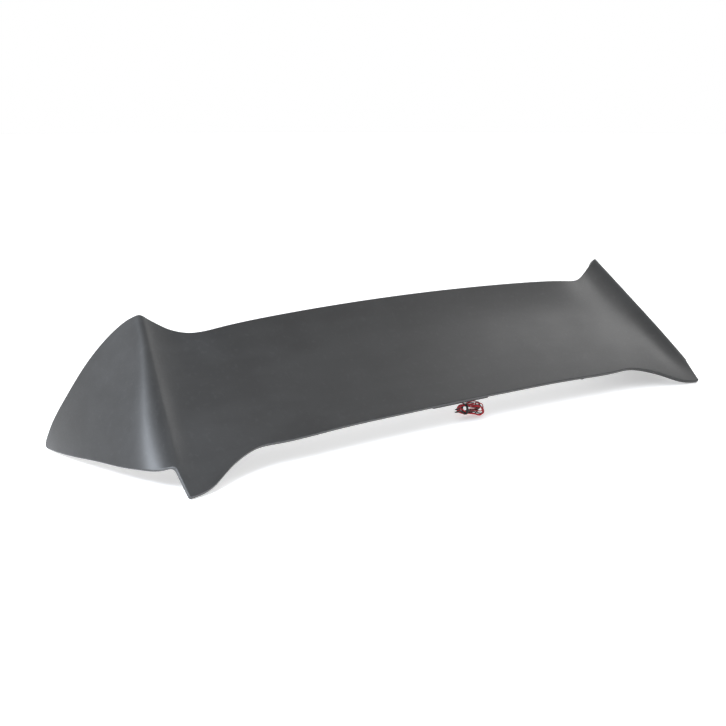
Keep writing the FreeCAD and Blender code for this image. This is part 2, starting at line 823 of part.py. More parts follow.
def lamp_screws():
    shapes = []
    for name, side in SIDES.items():
        shank = doc.addObject("Part::Cylinder", f"screw_shank_{name}")
        head = doc.addObject("Part::Cylinder", f"screw_head_{name}")
        shank.setExpression("Radius", "sizes.screw_radius")
        shank.setExpression("Height", "sizes.lamp_rear - sizes.tray_front")
        head.setExpression("Radius", "sizes.screw_head")
        head.setExpression("Height", "sizes.lens_rear - sizes.lamp_rear - 0.6")
        for item, chord in ((shank, "sizes.tray_front"), (head, "sizes.lamp_rear")):
            item.Placement = Placement(Vector(), Rotation(Vector(1, 0, 0), -90))
            place(item, f"{side} * sizes.screw_x", chord, LAMP_MIDDLE)
        shapes += [shank, head]
    return fused("lamp_screws", shapes)


# ---------------------------------------------------------------- build


def standing_pose(skin):
    """Turns the chord frame until the leg tips and the cheeks' rear corners stand on Z = 0."""
    tilt = 42.0
    for _ in range(4):
        turned = skin.copy()
        turned.rotate(Vector(), Vector(1, 0, 0), tilt)
        halves = []
        for low, high in ((-900, 60), (60, 900)):
            zone = box((-700, low, -900), (700, high, 900))
            halves.append(turned.common(zone).optimalBoundingBox(False))
        legs, corners = halves
        tilt -= math.degrees(math.atan2(corners.ZMin - legs.ZMin, 300))
    turned = skin.copy()
    turned.rotate(Vector(), Vector(1, 0, 0), tilt)
    room = turned.optimalBoundingBox(False)
    base = Vector(0, -(room.YMin + room.YMax) / 2, -room.ZMin)
    return Placement(base, Rotation(Vector(1, 0, 0), tilt))


def build():
    skin_shape = upper_skin()
    pose = standing_pose(skin_shape)
    print("pose", pose)
    layer = tape_layer()
    under = feature("space_under_panel", box((-600, 0, -100), (600, 280, 0)).cut(above_under(-0.05)))
    cavity = feature("cavity", below_skin(size("skin") + 0.3).common(above_under(size("panel") + 0.3)))
    nodes = [feature("upper_skin", skin_shape), feature("lower_skin", lower_skin())]
    nodes.append(feature("bond_strip", bond_strip()))
    for name, side in SIDES.items():
        nodes.append(feature(f"leg_tape_{name}", leg_tape(side, layer)))
        nodes.append(feature(f"cheek_tape_{name}", cheek_tape(side, layer)))
        nodes += mounting(name, side, under)
    nodes += [centre_pad(under), support_ribs(cavity), grommet()]
    nodes += [lamp_housing(), lamp_lens(), lamp_gasket(), lamp_leds(), lamp_reflector(), lamp_screws()]
    nodes.append(lamp_bar("lamp_board", "sizes.board_front", "sizes.board_rear", INNER_SIDE))
    nodes += [feature(f"inner_lead_{colour}", inner_lead(colour)) for colour in INNER_ROUTES]
    doc.recompute()
    for item in nodes:
        item.Placement = pose
    hank = hank_solid()
    nodes += [feature("lead_hank", hank), feature("hank_tie", hank_tie(hank))]
    nodes += [feature(f"drop_{colour}", drop(colour, pose)) for colour in DROP_ROUTES]
    nodes += [terminal("red", "-81", "14.6"), terminal("black", "-81", "10")]
    doc.recompute()
    return nodes


def write(nodes):
    for item in doc.Objects:
        if "Invalid" in item.State or "Error" in item.State:
            raise RuntimeError(f"{item.Label} failed: {item.State}")
    for item in nodes:
        if item.Shape.isNull() or not item.Shape.isValid():
            raise RuntimeError(f"{item.Label} has no valid shape")
    os.makedirs("parts", exist_ok=True)
    for item in nodes:
        item.Shape.exportStep(f"parts/{item.Label}.step")
        print(item.Label, len(item.Shape.Solids), round(item.Shape.Volume))


write(build())
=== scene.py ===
"""Looks of a racing rear wing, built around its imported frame.

The wing is a glass-fibre moulding in dark grey primer: a blade that rises to a kicked-up lip, a
fin and a swept cheek at each end, and two short legs in front. Below it are a lower skin, two
studded feet, a foam pad and the leads of the brake lamp that is sunk into the lip.

The blade is drawn in its chord frame, in millimetres: X across the car, Y aft along the chord
and Z square to the chord. ChordFrame turns that into the row's frame, in metres.
"""

import json
import logging
import math
from collections.abc import Callable
from dataclasses import dataclass, field
from enum import Enum

import bmesh
import bpy
import numpy as np
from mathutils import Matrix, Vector
from mathutils.geometry import delaunay_2d_cdt


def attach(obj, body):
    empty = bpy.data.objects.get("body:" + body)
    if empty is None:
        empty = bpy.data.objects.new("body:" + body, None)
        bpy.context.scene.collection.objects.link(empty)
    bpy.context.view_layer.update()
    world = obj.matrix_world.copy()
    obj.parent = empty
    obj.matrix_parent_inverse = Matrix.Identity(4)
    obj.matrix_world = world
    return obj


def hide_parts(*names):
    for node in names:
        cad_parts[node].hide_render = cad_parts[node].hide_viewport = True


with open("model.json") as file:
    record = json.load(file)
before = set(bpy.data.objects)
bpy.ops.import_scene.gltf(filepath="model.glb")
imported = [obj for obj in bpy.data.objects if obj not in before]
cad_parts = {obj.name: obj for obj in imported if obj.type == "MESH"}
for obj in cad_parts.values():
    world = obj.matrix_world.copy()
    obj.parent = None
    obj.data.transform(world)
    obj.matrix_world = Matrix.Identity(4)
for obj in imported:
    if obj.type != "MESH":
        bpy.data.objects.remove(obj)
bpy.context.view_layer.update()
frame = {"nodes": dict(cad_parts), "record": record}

LOG = logging.getLogger("rear_wing")
MM = 0.001
ROOT = "root"

Pair = tuple[float, float]
Triple = tuple[float, float, float]
Socket = bpy.types.NodeSocket


class Lead(Enum):
    """The two leads of the lamp; the value is the sign of the step across the grommet."""

    RED = -1
    BLACK = 1


def smooth(value: np.ndarray | float, low: float, high: float) -> np.ndarray:
    """Rises from 0 at low to 1 at high with level ends.

    Args:
        value: Where it is read.
        low: Where it leaves 0.
        high: Where it reaches 1.

    Returns:
        The share of the rise, between 0 and 1.
    """
    part = np.clip((np.asarray(value, float) - low) / (high - low), 0, 1)
    return part * part * (3 - 2 * part)


@dataclass
class ChordFrame:
    """The blade's own frame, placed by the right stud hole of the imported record."""

    record: dict
    stud_chord: float = 52.0
    stud_height: float = -24.5

    def __post_init__(self) -> None:
        """Reads the tilt and the place from the right stud hole."""
        mount = next(item for item in self.record["mounts"] if item["name"] == "right_stud_hole")
        tilt = math.atan2(mount["axis"][1], -mount["axis"][2])
        self.cos, self.sin = math.cos(tilt), math.sin(tilt)
        reach = self.stud_chord * self.cos - self.stud_height * self.sin
        rise = self.stud_chord * self.sin + self.stud_height * self.cos
        self.base_y = mount["pos_m"][1] / MM - reach
        self.base_z = mount["pos_m"][2] / MM - rise

    def to_row(self, points: np.ndarray) -> np.ndarray:
        """Turns chord-frame millimetres into row-frame metres.

        Args:
            points: One point a row.

        Returns:
            The points in the row's frame.
        """
        points = np.asarray(points, float).reshape(-1, 3)
        y = self.base_y + points[:, 1] * self.cos - points[:, 2] * self.sin
        z = self.base_z + points[:, 1] * self.sin + points[:, 2] * self.cos
        return np.stack([points[:, 0], y, z], 1) * MM

    def turned(self, directions: np.ndarray) -> np.ndarray:
        """Turns chord-frame directions into the row's frame.

        Args:
            directions: One direction a row.

        Returns:
            The directions in the row's frame.
        """
        y = directions[:, 1] * self.cos - directions[:, 2] * self.sin
        z = directions[:, 1] * self.sin + directions[:, 2] * self.cos
        return np.stack([directions[:, 0], y, z], 1)


CHORD = ChordFrame(frame["record"])


# ---------------------------------------------------------------- curves and spline nets


def fair_curve(points: list[Pair], step: float) -> np.ndarray:
    """Samples a natural cubic spline through points.

    Args:
        points: Points that the curve goes through.
        step: Distance between samples, about.

    Returns:
        The samples, one a row, ends included.
    """
    knots = np.asarray(points, float)
    runs = np.hypot(*np.diff(knots, axis=0).T)
    places = np.concatenate([[0], np.cumsum(runs)])
    count = len(knots)
    system = np.eye(count)
    right = np.zeros((count, 2))
    for row in range(1, count - 1):
        before, after = runs[row - 1], runs[row]
        system[row, row - 1 : row + 2] = (before, 2 * (before + after), after)
        rise, fall = (knots[row + 1] - knots[row]) / after, (knots[row] - knots[row - 1]) / before
        right[row] = 6 * (rise - fall)
    bends = np.linalg.solve(system, right)
    reach = np.linspace(0, places[-1], max(int(places[-1] / step), 2) + 1)
    span = np.clip(np.searchsorted(places, reach, side="right") - 1, 0, count - 2)
    length = runs[span][:, None]
    ahead = (reach - places[span])[:, None] / length
    behind = 1 - ahead
    curve = behind * knots[span] + ahead * knots[span + 1]
    sag = (behind**3 - behind) * bends[span] + (ahead**3 - ahead) * bends[span + 1]
    return curve + sag * length**2 / 6


def even_run(points: np.ndarray, step: float) -> np.ndarray:
    """Resamples an open polyline at equal steps.

    Args:
        points: The polyline.
        step: Distance between the new points, about.

    Returns:
        The new points, ends kept.
    """
    runs = np.hypot(*np.diff(points, axis=0).T)
    places = np.concatenate([[0], np.cumsum(runs)])
    reach = np.linspace(0, places[-1], int(round(places[-1] / step)) + 1)
    return np.stack([np.interp(reach, places, points[:, axis]) for axis in (0, 1)], 1)


def softened(points: np.ndarray, passes: int) -> np.ndarray:
    """Rounds the corners of an even polyline whose ends lie on the middle plane.

    Args:
        points: The polyline, with its first coordinate 0 at both ends.
        passes: How often each point moves towards its neighbours.

    Returns:
        The rounded polyline.
    """
    mirror = np.array([-1, 1])
    for _ in range(passes):
        before = np.vstack([points[1] * mirror, points[:-1]])
        after = np.vstack([points[1:], points[-2] * mirror])
        points = points / 2 + (before + after) / 4
    return points


class SplineNet:
    """A clamped uniform cubic B-spline surface whose rows of control points have one chord each."""

    def __init__(self, rows: np.ndarray) -> None:
        """Keeps the net and a table from chord to the parameter along the rows.

        Args:
            rows: Control points: rows along the chord, columns across.
        """
        self.rows = rows
        self.high_u = rows.shape[0] - 3
        self.high_v = rows.shape[1] - 3
        self.table_u = np.linspace(0, self.high_u, 2001)
        self.table_chord = self.basis(self.table_u, rows.shape[0]) @ rows[:, 0, 1]

    @staticmethod
    def basis(places: np.ndarray, count: int) -> np.ndarray:
        """Cubic B-spline weights.

        Args:
            places: Parameters, from 0 to count - 3.
            count: Number of control points.

        Returns:
            One row of weights for each parameter.
        """
        top = count - 3
        knots = np.concatenate([[0] * 3, np.arange(top + 1), [top] * 3]).astype(float)
        places = np.clip(places, 0, top - 1e-9)[:, None]
        weights = ((knots[:-1] <= places) & (places < knots[1:])).astype(float)
        for degree in (1, 2, 3):
            low, high = knots[: -degree - 1], knots[degree + 1 :]
            rise = np.where(knots[degree:-1] > low[: len(knots) - degree - 1], knots[degree:-1] - low, 1)
            fall = np.where(high > knots[1:-degree], high - knots[1:-degree], 1)
            up = (places - low) / rise * weights[:, :-1]
            down = (high - places) / fall * weights[:, 1:]
            weights = up + down
        return weights

    def u_at(self, chord: np.ndarray) -> np.ndarray:
        """Parameter along the rows at a chord."""
        return np.interp(chord, self.table_chord, self.table_u)

    def point(self, chord: np.ndarray, v: np.ndarray) -> np.ndarray:
        """Points of the surface.

        Args:
            chord: Places along the chord.
            v: Parameters across.

        Returns:
            One point a row, in chord-frame millimetres.
        """
        along = self.basis(self.u_at(chord), self.rows.shape[0])
        across = self.basis(v, self.rows.shape[1])
        return np.einsum("ni,nj,ijk->nk", along, across, self.rows, optimize=True)

    def normal(self, chord: np.ndarray, v: np.ndarray) -> np.ndarray:
        """Unit normals of the surface, pointing away from the wing's inside.

        Args:
            chord: Places along the chord.
            v: Parameters across.

        Returns:
            One unit normal a row.
        """
        tiny = 0.02
        along = self.point(chord + tiny, v) - self.point(chord - tiny, v)
        across = self.point(chord, v + tiny) - self.point(chord, v - tiny)
        normals = np.cross(across, along)
        return normals / np.linalg.norm(normals, axis=1)[:, None]


# ---------------------------------------------------------------- shape of the wing


@dataclass
class WingShape:
    """Driving sizes of the blade, its fins and its cheeks, in chord-frame millimetres."""

    ridge_front: float = 548.0
    ridge_drift: float = 54.0
    ridge_length: float = 260.0
    lead_centre: float = 20.0
    lead_sweep: float = 9.5
    trail_centre: float = 240.5
    trail_sweep: float = 20.0
    sweep_at: float = 400.0
    centre_level: float = -14.3
    crown: float = 5.2
    dip: float = 3.0
    kick_length: float = 80.0
    kick_height: float = 10.0
    kick_swell: float = 1.4
    kick_power: float = 1.6
    ridge_round: float = 4.5
    cheek_slope: float = 0.66
    cheek_curve: float = 0.0011
    stations: tuple[float, ...] = (-75, -35, 5, 50, 95, 135, 165, 190, 212, 232, 250, 270, 292)
    blade_columns: tuple[float, ...] = (0, 120, 230, 320, 375)
    cheek_depths: tuple[float, ...] = (13, 45, 90, 140, 195, 240, 275)
    under_stations: tuple[float, ...] = (-10, 14, 30, 46, 62, 84, 116, 158, 200, 240, 275)
    under_middle: tuple[float, ...] = (6.9, 6.9, 6.9, 7.6, 15, 21, 26, 28.5, 26, 21, 19)
    under_side: tuple[float, ...] = (6.9, 6.9, 6.9, 7.6, 9, 12, 14.5, 16, 16, 16, 16)
    under_columns: tuple[float, ...] = (0, 130, 260, 370, 440, 480, 520, 580)
    under_flat: float = 470.0

    def ridge_x(self, chord: float) -> float:
        """Distance of the ridge line from the middle."""
        return self.ridge_front - self.ridge_drift * chord / self.ridge_length

    def lead_chord(self, x: float) -> float:
        """Chord of the plain front edge."""
        return self.lead_centre - self.lead_sweep * (x / self.sweep_at) ** 2

    def trail_chord(self, x: float) -> float:
        """Chord of the plain rear edge."""
        return self.trail_centre - self.trail_sweep * (x / self.sweep_at) ** 2

    def level(self, x: float, chord: float) -> float:
        """Height of the plain blade, without its kick and fins.

        Args:
            x: Distance from the middle.
            chord: Place along the chord.

        Returns:
            The height.
        """
        crown = self.crown - 2 * float(smooth(chord, 20, 200))
        dip = self.dip * float(smooth(chord, 0, 150))
        return self.centre_level + crown * (x / self.sweep_at) ** 2 - dip

    def kick(self, x: float, chord: float) -> float:
        """Rise of the rear edge, which fades out beside the fins.

        Args:
            x: Distance from the middle.
            chord: Place along the chord.

        Returns:
            The rise.
        """
        swell = self.kick_swell * float(smooth(x, 100, 300))
        height = (self.kick_height + swell) * (1 - float(smooth(x, 385, 440)))
        part = 1 - (self.trail_chord(min(x, self.sweep_at)) - chord) / self.kick_length
        return height * max(part, 0) ** self.kick_power

    def half_section(self, chord: float) -> list[Pair]:
        """Control points of the right half of the skin's section.

        Args:
            chord: Where the section is.

        Returns:
            Pairs of X and height, from the middle out and down the cheek.
        """
        ridge = self.ridge_x(chord)
        fin = float(smooth(chord, -45, 30))
        columns = [*self.blade_columns, ridge - 90, ridge - 58]
        points = [(x, self.level(x, chord) + self.kick(x, chord)) for x in columns]
        edge = self.level(ridge, chord)
        front_drop = 3.5 * (1 - float(smooth(chord, 0, 110)))
        top = self.ridge_round - front_drop + 0.6 * float(smooth(chord, 130, 200))
        for inside, height in ((32, -11 + 2.5 * fin), (12, -3), (-1, top)):
            points.append((ridge - inside, edge + fin * (height - edge)))
        for depth in self.cheek_depths:
            points.append((ridge + self.cheek_slope * depth - self.cheek_curve * depth**2, -depth))
        return points

    def skin_net(self) -> SplineNet:
        """The net of the skin's outer surface."""
        return SplineNet(self.mirrored_rows(self.stations, self.half_section))

    def under_net(self) -> SplineNet:
        """The net of the lower skin's outer surface."""

        def half(chord: float) -> list[Pair]:
            """Control points of the right half of the lower skin's section.

            Args:
                chord: Where the section is.

            Returns:
                Pairs of X and height, from the middle out.
            """
            index = self.under_stations.index(chord)
            points = []
            for x in self.under_columns:
                flat = min(x, self.under_flat)
                share = 1 - (flat / self.under_flat) ** 2
                side = self.under_side[index]
                depth = side + (self.under_middle[index] - side) * share
                points.append((x, self.level(flat, chord) - depth))
            return points

        return SplineNet(self.mirrored_rows(self.under_stations, half))

    @staticmethod
    def mirrored_rows(stations: tuple[float, ...], half: Callable[[float], list[Pair]]) -> np.ndarray:
        """Whole rows of control points from a function for their right half.

        Args:
            stations: Chord of each row.
            half: Gives the right half of one row.

        Returns:
            The net, rows along the chord and columns across.
        """
        rows = []
        for chord in stations:
            right = [(x, chord, z) for x, z in half(chord)]
            left = [(-x, chord, z) for x, chord, z in reversed(right[1:])]
            rows.append(left + right)
        return np.array(rows, float)


@dataclass
class WingSurface:
    """The skin's outer surface laid out flat: p runs across from the middle, q is the chord."""

    shape: WingShape
    ridge_column: int = 24
    middle_column: int = 15
    flat_chord: float = 130.0
    roll_in: float = 4.0
    roll_rear: float = 24.0
    roll_front: float = 152.0
    roll_power: float = 2.4

    def __post_init__(self) -> None:
        """Lays the net out along its section at flat_chord."""
        self.net = self.shape.skin_net()
        self.table_v = np.linspace(self.middle_column, self.net.high_v, 3001)
        line = self.net.point(np.full(3001, self.flat_chord), self.table_v)
        steps = np.linalg.norm(np.diff(line, axis=0), axis=1)
        self.table_p = np.concatenate([[0], np.cumsum(steps)])
        self.ridge_p = float(np.interp(self.ridge_column, self.table_v, self.table_p))

    def point(self, flat: np.ndarray) -> np.ndarray:
        """Points of the surface.

        Args:
            flat: Pairs of p and q; a negative p is on the left.

        Returns:
            Points in chord-frame millimetres.
        """
        v = np.interp(np.abs(flat[:, 0]), self.table_p, self.table_v)
        points = self.net.point(flat[:, 1], v)
        points[:, 0] *= np.where(flat[:, 0] < 0, -1, 1)
        return points

    def normal(self, flat: np.ndarray) -> np.ndarray:
        """Outward unit normals of the surface.

        Args:
            flat: Pairs of p and q; a negative p is on the left.

        Returns:
            One unit normal a row.
        """
        v = np.interp(np.abs(flat[:, 0]), self.table_p, self.table_v)
        normals = self.net.normal(flat[:, 1], v)
        normals[:, 0] *= np.where(flat[:, 0] < 0, -1, 1)
        return normals

    def soft_normal(self, flat: np.ndarray) -> np.ndarray:
        """Normals that roll over the ridge as the sprayed and flatted filler does, wider in front.

        Args:
            flat: Pairs of p and q.

        Returns:
            Outward unit normals.
        """
        side = np.where(flat[:, 0] < 0, -1, 1)
        place = np.abs(flat[:, 0])
        low = np.full(len(flat), self.ridge_p - self.roll_in)
        front = 1 - smooth(flat[:, 1], 10, 235)
        high = self.ridge_p + self.roll_rear + (self.roll_front - self.roll_rear) * front
        share = np.clip((place - low) / (high - low), 0, 1)
        share = (1 - (1 - share) ** self.roll_power)[:, None]
        inner = self.normal(np.stack([side * low, flat[:, 1]], 1))
        outer = self.normal(np.stack([side * high, flat[:, 1]], 1))
        rolled = (1 - share) * inner + share * outer
        rolled /= np.linalg.norm(rolled, axis=1)[:, None]
        within = ((place > low) & (place < high))[:, None]
        return np.where(within, rolled, self.normal(flat))

    def lay_flat(self, chord: np.ndarray, value: np.ndarray, axis: int) -> np.ndarray:
        """Finds where the section at a chord has a given X on the blade, or a given height on the cheek.

        Args:
            chord: Chord of each section.
            value: The X or the height that is sought.
            axis: 0 for X on the blade, 2 for height on the cheek.

        Returns:
            Pairs of p and q.
        """
        sign = 1 if axis == 0 else -1
        low = np.full(len(chord), float(self.middle_column if axis == 0 else self.ridge_column))
        high = np.full(len(chord), float(self.ridge_column if axis == 0 else self.net.high_v))
        for _ in range(30):
            middle = (low + high) / 2
            short = sign * (self.net.point(chord, middle)[:, axis] - value) < 0
            low = np.where(short, middle, low)
            high = np.where(short, high, middle)
        return np.stack([np.interp((low + high) / 2, self.table_v, self.table_p), chord], 1)


class Edge(Enum):
    """Stretches of the skin's outline, in order from the middle of the front edge."""

    LEAD = 0
    LEG = 1
    CHEEK = 2
    TRAIL = 3


@dataclass
class Outline:
    """The skin's outline, laid out flat, for the right half of the wing."""

    shape: WingShape
    surface: WingSurface
    step: float = 3.0
    fine: float = 1.0
    corner_passes: int = 12
    window_half: float = 146.3
    lead_at: tuple[float, ...] = (-260, -130, 0, 130, 260, 370)
    trail_at: tuple[float, ...] = (-240, -120, 0, 120, 240, 330)
    leg_end: tuple[Pair, Pair] = ((544, -46.5), (545.5, 2))
    leg_points: tuple[Pair, ...] = (
        (402, 11), (427, 4), (452, -7), (476, -21), (497, -34), (517, -42), (544, -46.5),
    )
    fin_points: tuple[Pair, ...] = (
        (372, 223), (402, 221.5), (422, 224), (440, 231), (456, 239.5), (474, 250.5), (494, 261),
    )
    cheek_lower: tuple[Pair, ...] = (
        (4.5, -7), (13, -23), (33, -48), (61, -79), (94, -113), (131, -154), (170, -198), (200, -230),
    )
    cheek_corner: tuple[Pair, ...] = ((200, -230), (206, -236), (211, -238.5), (216, -237), (219, -233))
    cheek_rear: tuple[Pair, ...] = (
        (219, -233), (229, -211), (243, -159), (256, -115), (265.5, -76), (269.5, -43), (268, -18),
        (263, -3),
    )
    flat: np.ndarray = field(init=False)
    kind: np.ndarray = field(init=False)
    window: int = field(init=False)

    def __post_init__(self) -> None:
        """Samples the stretches, rounds their corners and spaces the points evenly."""
        lead = [(x, self.shape.lead_chord(x)) for x in self.lead_at] + list(self.leg_points)
        trail = [(x, self.shape.trail_chord(x)) for x in self.trail_at] + list(self.fin_points)
        stretches = [
            (Edge.LEAD, fair_curve(lead, self.fine), 0),
            (Edge.LEG, np.array(self.leg_end, float), 0),
            (Edge.CHEEK, fair_curve(list(self.cheek_lower), self.fine), 2),
            (Edge.CHEEK, fair_curve(list(self.cheek_corner), self.fine), 2),
            (Edge.CHEEK, fair_curve(list(self.cheek_rear), self.fine), 2),
            (Edge.TRAIL, fair_curve(trail, self.fine)[::-1], 0),
        ]
        runs = []
        marks = []
        for kind, points, axis in stretches:
            if axis == 0:
                points = points[points[:, 0] >= 0]
                flat = self.surface.lay_flat(points[:, 1], points[:, 0], 0)
            else:
                flat = self.surface.lay_flat(points[:, 0], points[:, 1], 2)
            runs.append(flat)
            marks += [kind.value] * len(flat)
        rough = np.vstack(runs)
        rough[0, 0] = rough[-1, 0] = 0
        half = softened(even_run(rough, self.fine), self.corner_passes)
        half[0, 0] = half[-1, 0] = 0
        self.flat = even_run(half, self.step)
        nearest = np.linalg.norm(self.flat[:, None] - rough[None], axis=2).argmin(1)
        self.kind = np.array(marks)[nearest]
        self.fit_window()

    def fit_window(self) -> None:
        """Moves one point of the rear edge onto the lamp window's end."""
        x = self.surface.point(self.flat)[:, 0]
        rear = np.flatnonzero(self.kind == Edge.TRAIL.value)
        self.window = int(rear[np.abs(x[rear] - self.window_half).argmin()])
        after = self.window + 1 if x[self.window] > self.window_half else self.window - 1
        share = (self.window_half - x[self.window]) / (x[after] - x[self.window])
        self.flat[self.window] += share * (self.flat[after] - self.flat[self.window])

    def whole(self, values: np.ndarray, flip: bool) -> np.ndarray:
        """Extends values of the right half to the closed outline.

        Args:
            values: One row for each point of the half outline.
            flip: Whether the first column changes sign on the left.

        Returns:
            Values round the closed outline.
        """
        left = values[1:-1][::-1].copy()
        if flip:
            left[:, 0] *= -1
        return np.concatenate([values, left])


# ---------------------------------------------------------------- meshes


class MeshDraft:
    """Vertices and faces of a piece while it is drawn."""

    def __init__(self) -> None:
        """Starts with nothing."""
        self.points: list[np.ndarray] = []
        self.count = 0
        self.faces: list[tuple[int, ...]] = []

    def add(self, points: np.ndarray) -> np.ndarray:
        """Adds vertices.

        Args:
            points: Chord-frame millimetres, one a row.

        Returns:
            Their numbers.
        """
        self.points.append(np.asarray(points, float))
        start = self.count
        self.count += len(points)
        return np.arange(start, self.count)

    def strip(self, first: np.ndarray, second: np.ndarray, closed: bool = True) -> None:
        """Joins two rows of vertices with quads.

        Args:
            first: One row.
            second: The other row, as long.
            closed: Whether the rows close on themselves.
        """
        last = len(first) if closed else len(first) - 1
        for index in range(last):
            after = (index + 1) % len(first)
            self.faces.append((first[index], first[after], second[after], second[index]))

    def mesh(self, name: str, metres: bool = False) -> bpy.types.Mesh:
        """Makes the mesh.

        Args:
            name: The mesh's name.
            metres: Whether the points are in the row's frame already.

        Returns:
            A mesh in row-frame metres, its faces pointing outwards.
        """
        points = np.vstack(self.points)
        if not metres:
            points = CHORD.to_row(points)
        mesh = bpy.data.meshes.new(name)
        faces = [tuple(int(index) for index in face) for face in self.faces]
        mesh.from_pydata(points.tolist(), [], faces)
        draft = bmesh.new()
        draft.from_mesh(mesh)
        bmesh.ops.recalc_face_normals(draft, faces=draft.faces)
        draft.to_mesh(mesh)
        draft.free()
        mesh.shade_smooth()
        return mesh


def add_object(name: str, data: bpy.types.ID) -> bpy.types.Object:
    """Makes an object and links it to the scene.

    Args:
        name: The object's name.
        data: Its mesh, curve, light or camera.

    Returns:
        The object.
    """
    made = bpy.data.objects.new(name, data)
    bpy.context.scene.collection.objects.link(made)
    return made


def place_piece(
    name: str, mesh: bpy.types.Mesh, material: bpy.types.Material, slot: str, *nodes: str
) -> bpy.types.Object:
    """Puts a finished mesh into the scene as a piece of the wing.

    Args:
        name: The piece's name.
        mesh: Its mesh, in row-frame metres.
        material: What it is dressed in.
        slot: The record's material slot; not used.
        nodes: CAD nodes that it stands for.

    Returns:
        The object.
    """
    piece = add_object(name, mesh)
    mesh.materials.clear()
    mesh.materials.append(material)
    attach(piece, ROOT)
    if nodes:
        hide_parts(*nodes)
    LOG.info("%s: %d faces", name, len(mesh.polygons))
    return piece


def bevel(piece: bpy.types.Object, width: float, segments: int = 2, angle: float = 35) -> None:
    """Rounds a piece's sharp edges with a live Bevel modifier.

    Args:
        piece: The piece.
        width: Width in millimetres.
        segments: Steps of the rounding.
        angle: Sharpest edge that stays, in degrees.
    """
    modifier = piece.modifiers.new("rounded", "BEVEL")
    modifier.width = width * MM
    modifier.segments = segments
    modifier.limit_method = "ANGLE"
    modifier.angle_limit = math.radians(angle)
    modifier.harden_normals = False


def smooth_by_angle(mesh: bpy.types.Mesh, angle: float = 35) -> None:
    """Keeps edges sharper than angle, in degrees, sharp in a smooth mesh."""
    mesh.set_sharp_from_angle(angle=math.radians(angle))


# ---------------------------------------------------------------- finishes


class Dresser:
    """Builds one procedural material on Object coordinates."""

    def __init__(self, name: str) -> None:
        """Starts a material with a Principled shader.

        Args:
            name: The material's name.
        """
        self.material = bpy.data.materials.new(name)
        self.material.use_nodes = True
        self.nodes = self.material.node_tree.nodes
        self.links = self.material.node_tree.links
        self.shader = self.nodes["Principled BSDF"]
        self.place = self.nodes.new("ShaderNodeTexCoord").outputs["Object"]

    def link(self, output: Socket, target: Socket) -> None:
        """Joins an output to an input."""
        self.links.new(output, target)

    def colour(self, colour: Socket) -> None:
        """Sets the shader's colour."""
        self.link(colour, self.shader.inputs["Base Color"])

    def roughness(self, value: Socket) -> None:
        """Sets the shader's roughness."""
        self.link(value, self.shader.inputs["Roughness"])

    def noise(self, scale: float, detail: float = 4, stretch: Triple | None = None) -> Socket:
        """Noise over the piece.

        Args:
            scale: Waves to the metre.
            detail: Octaves.
            stretch: Scale along each axis, where it isn't even.

        Returns:
            A value that is mostly between 0.3 and 0.7.
        """
        texture = self.nodes.new("ShaderNodeTexNoise")
        texture.inputs["Scale"].default_value = scale
        texture.inputs["Detail"].default_value = detail
        source = self.place
        if stretch is not None:
            mapping = self.nodes.new("ShaderNodeMapping")
            mapping.inputs["Scale"].default_value = stretch
            self.link(source, mapping.inputs["Vector"])
            source = mapping.outputs["Vector"]
        self.link(source, texture.inputs["Vector"])
        return texture.outputs["Fac"]

    def cells(self, scale: float) -> Socket:
        """Distance to the nearest of many scattered points, for pores and pits."""
        texture = self.nodes.new("ShaderNodeTexVoronoi")
        texture.inputs["Scale"].default_value = scale
        self.link(self.place, texture.inputs["Vector"])
        return texture.outputs["Distance"]

    def spread(self, value: Socket, low: float, high: float, start: float, end: float) -> Socket:
        """Maps a value from one range to another, held at the ends.

        Args:
            value: The value.
            low: Where its range starts.
            high: Where its range ends.
            start: What low becomes.
            end: What high becomes.

        Returns:
            The mapped value.
        """
        node = self.nodes.new("ShaderNodeMapRange")
        for name, number in (("From Min", low), ("From Max", high), ("To Min", start), ("To Max", end)):
            node.inputs[name].default_value = number
        self.link(value, node.inputs["Value"])
        return node.outputs["Result"]

    def attribute(self, name: str) -> Socket:
        """A number that the mesh holds at its vertices."""
        node = self.nodes.new("ShaderNodeAttribute")
        node.attribute_name = name
        return node.outputs["Fac"]

    def blend(self, share: Socket, first: Triple | Socket, second: Triple | Socket) -> Socket:
        """Mixes two colours, each a triple or an output.

        Args:
            share: How much of the second shows.
            first: The first colour.
            second: The second colour.

        Returns:
            The mixed colour.
        """
        node = self.nodes.new("ShaderNodeMix")
        node.data_type = "RGBA"
        self.link(share, node.inputs["Factor"])
        for socket, colour in ((node.inputs[6], first), (node.inputs[7], second)):
            if isinstance(colour, tuple):
                socket.default_value = (*colour, 1)
            else:
                self.link(colour, socket)
        return node.outputs[2]

    def sum(self, first: Socket, second: Socket, weight: float) -> Socket:
        """First plus weight times second.

        Args:
            first: The first value.
            second: The second value.
            weight: What the second is multiplied by.

        Returns:
            The sum.
        """
        node = self.nodes.new("ShaderNodeMath")
        node.operation = "MULTIPLY_ADD"
        self.link(second, node.inputs[0])
        node.inputs[1].default_value = weight
        self.link(first, node.inputs[2])
        return node.outputs["Value"]

    def bump(self, height: Socket, depth: float, strength: float = 1.0) -> None:
        """Bends the shading by a height.

        Args:
            height: The height, about 0 to 1.
            depth: What 1 stands for, in millimetres.
            strength: How much of it shows.
        """
        node = self.nodes.new("ShaderNodeBump")
        node.inputs["Distance"].default_value = depth * MM
        node.inputs["Strength"].default_value = strength
        self.link(height, node.inputs["Height"])
        previous = self.shader.inputs["Normal"].links
        if previous:
            self.link(previous[0].from_socket, node.inputs["Normal"])
        self.link(node.outputs["Normal"], self.shader.inputs["Normal"])

    def set(self, **values: float) -> None:
        """Sets the shader's own sockets; an underscore stands for a space."""
        for name, value in values.items():
            self.shader.inputs[name.replace("_", " ")].default_value = value


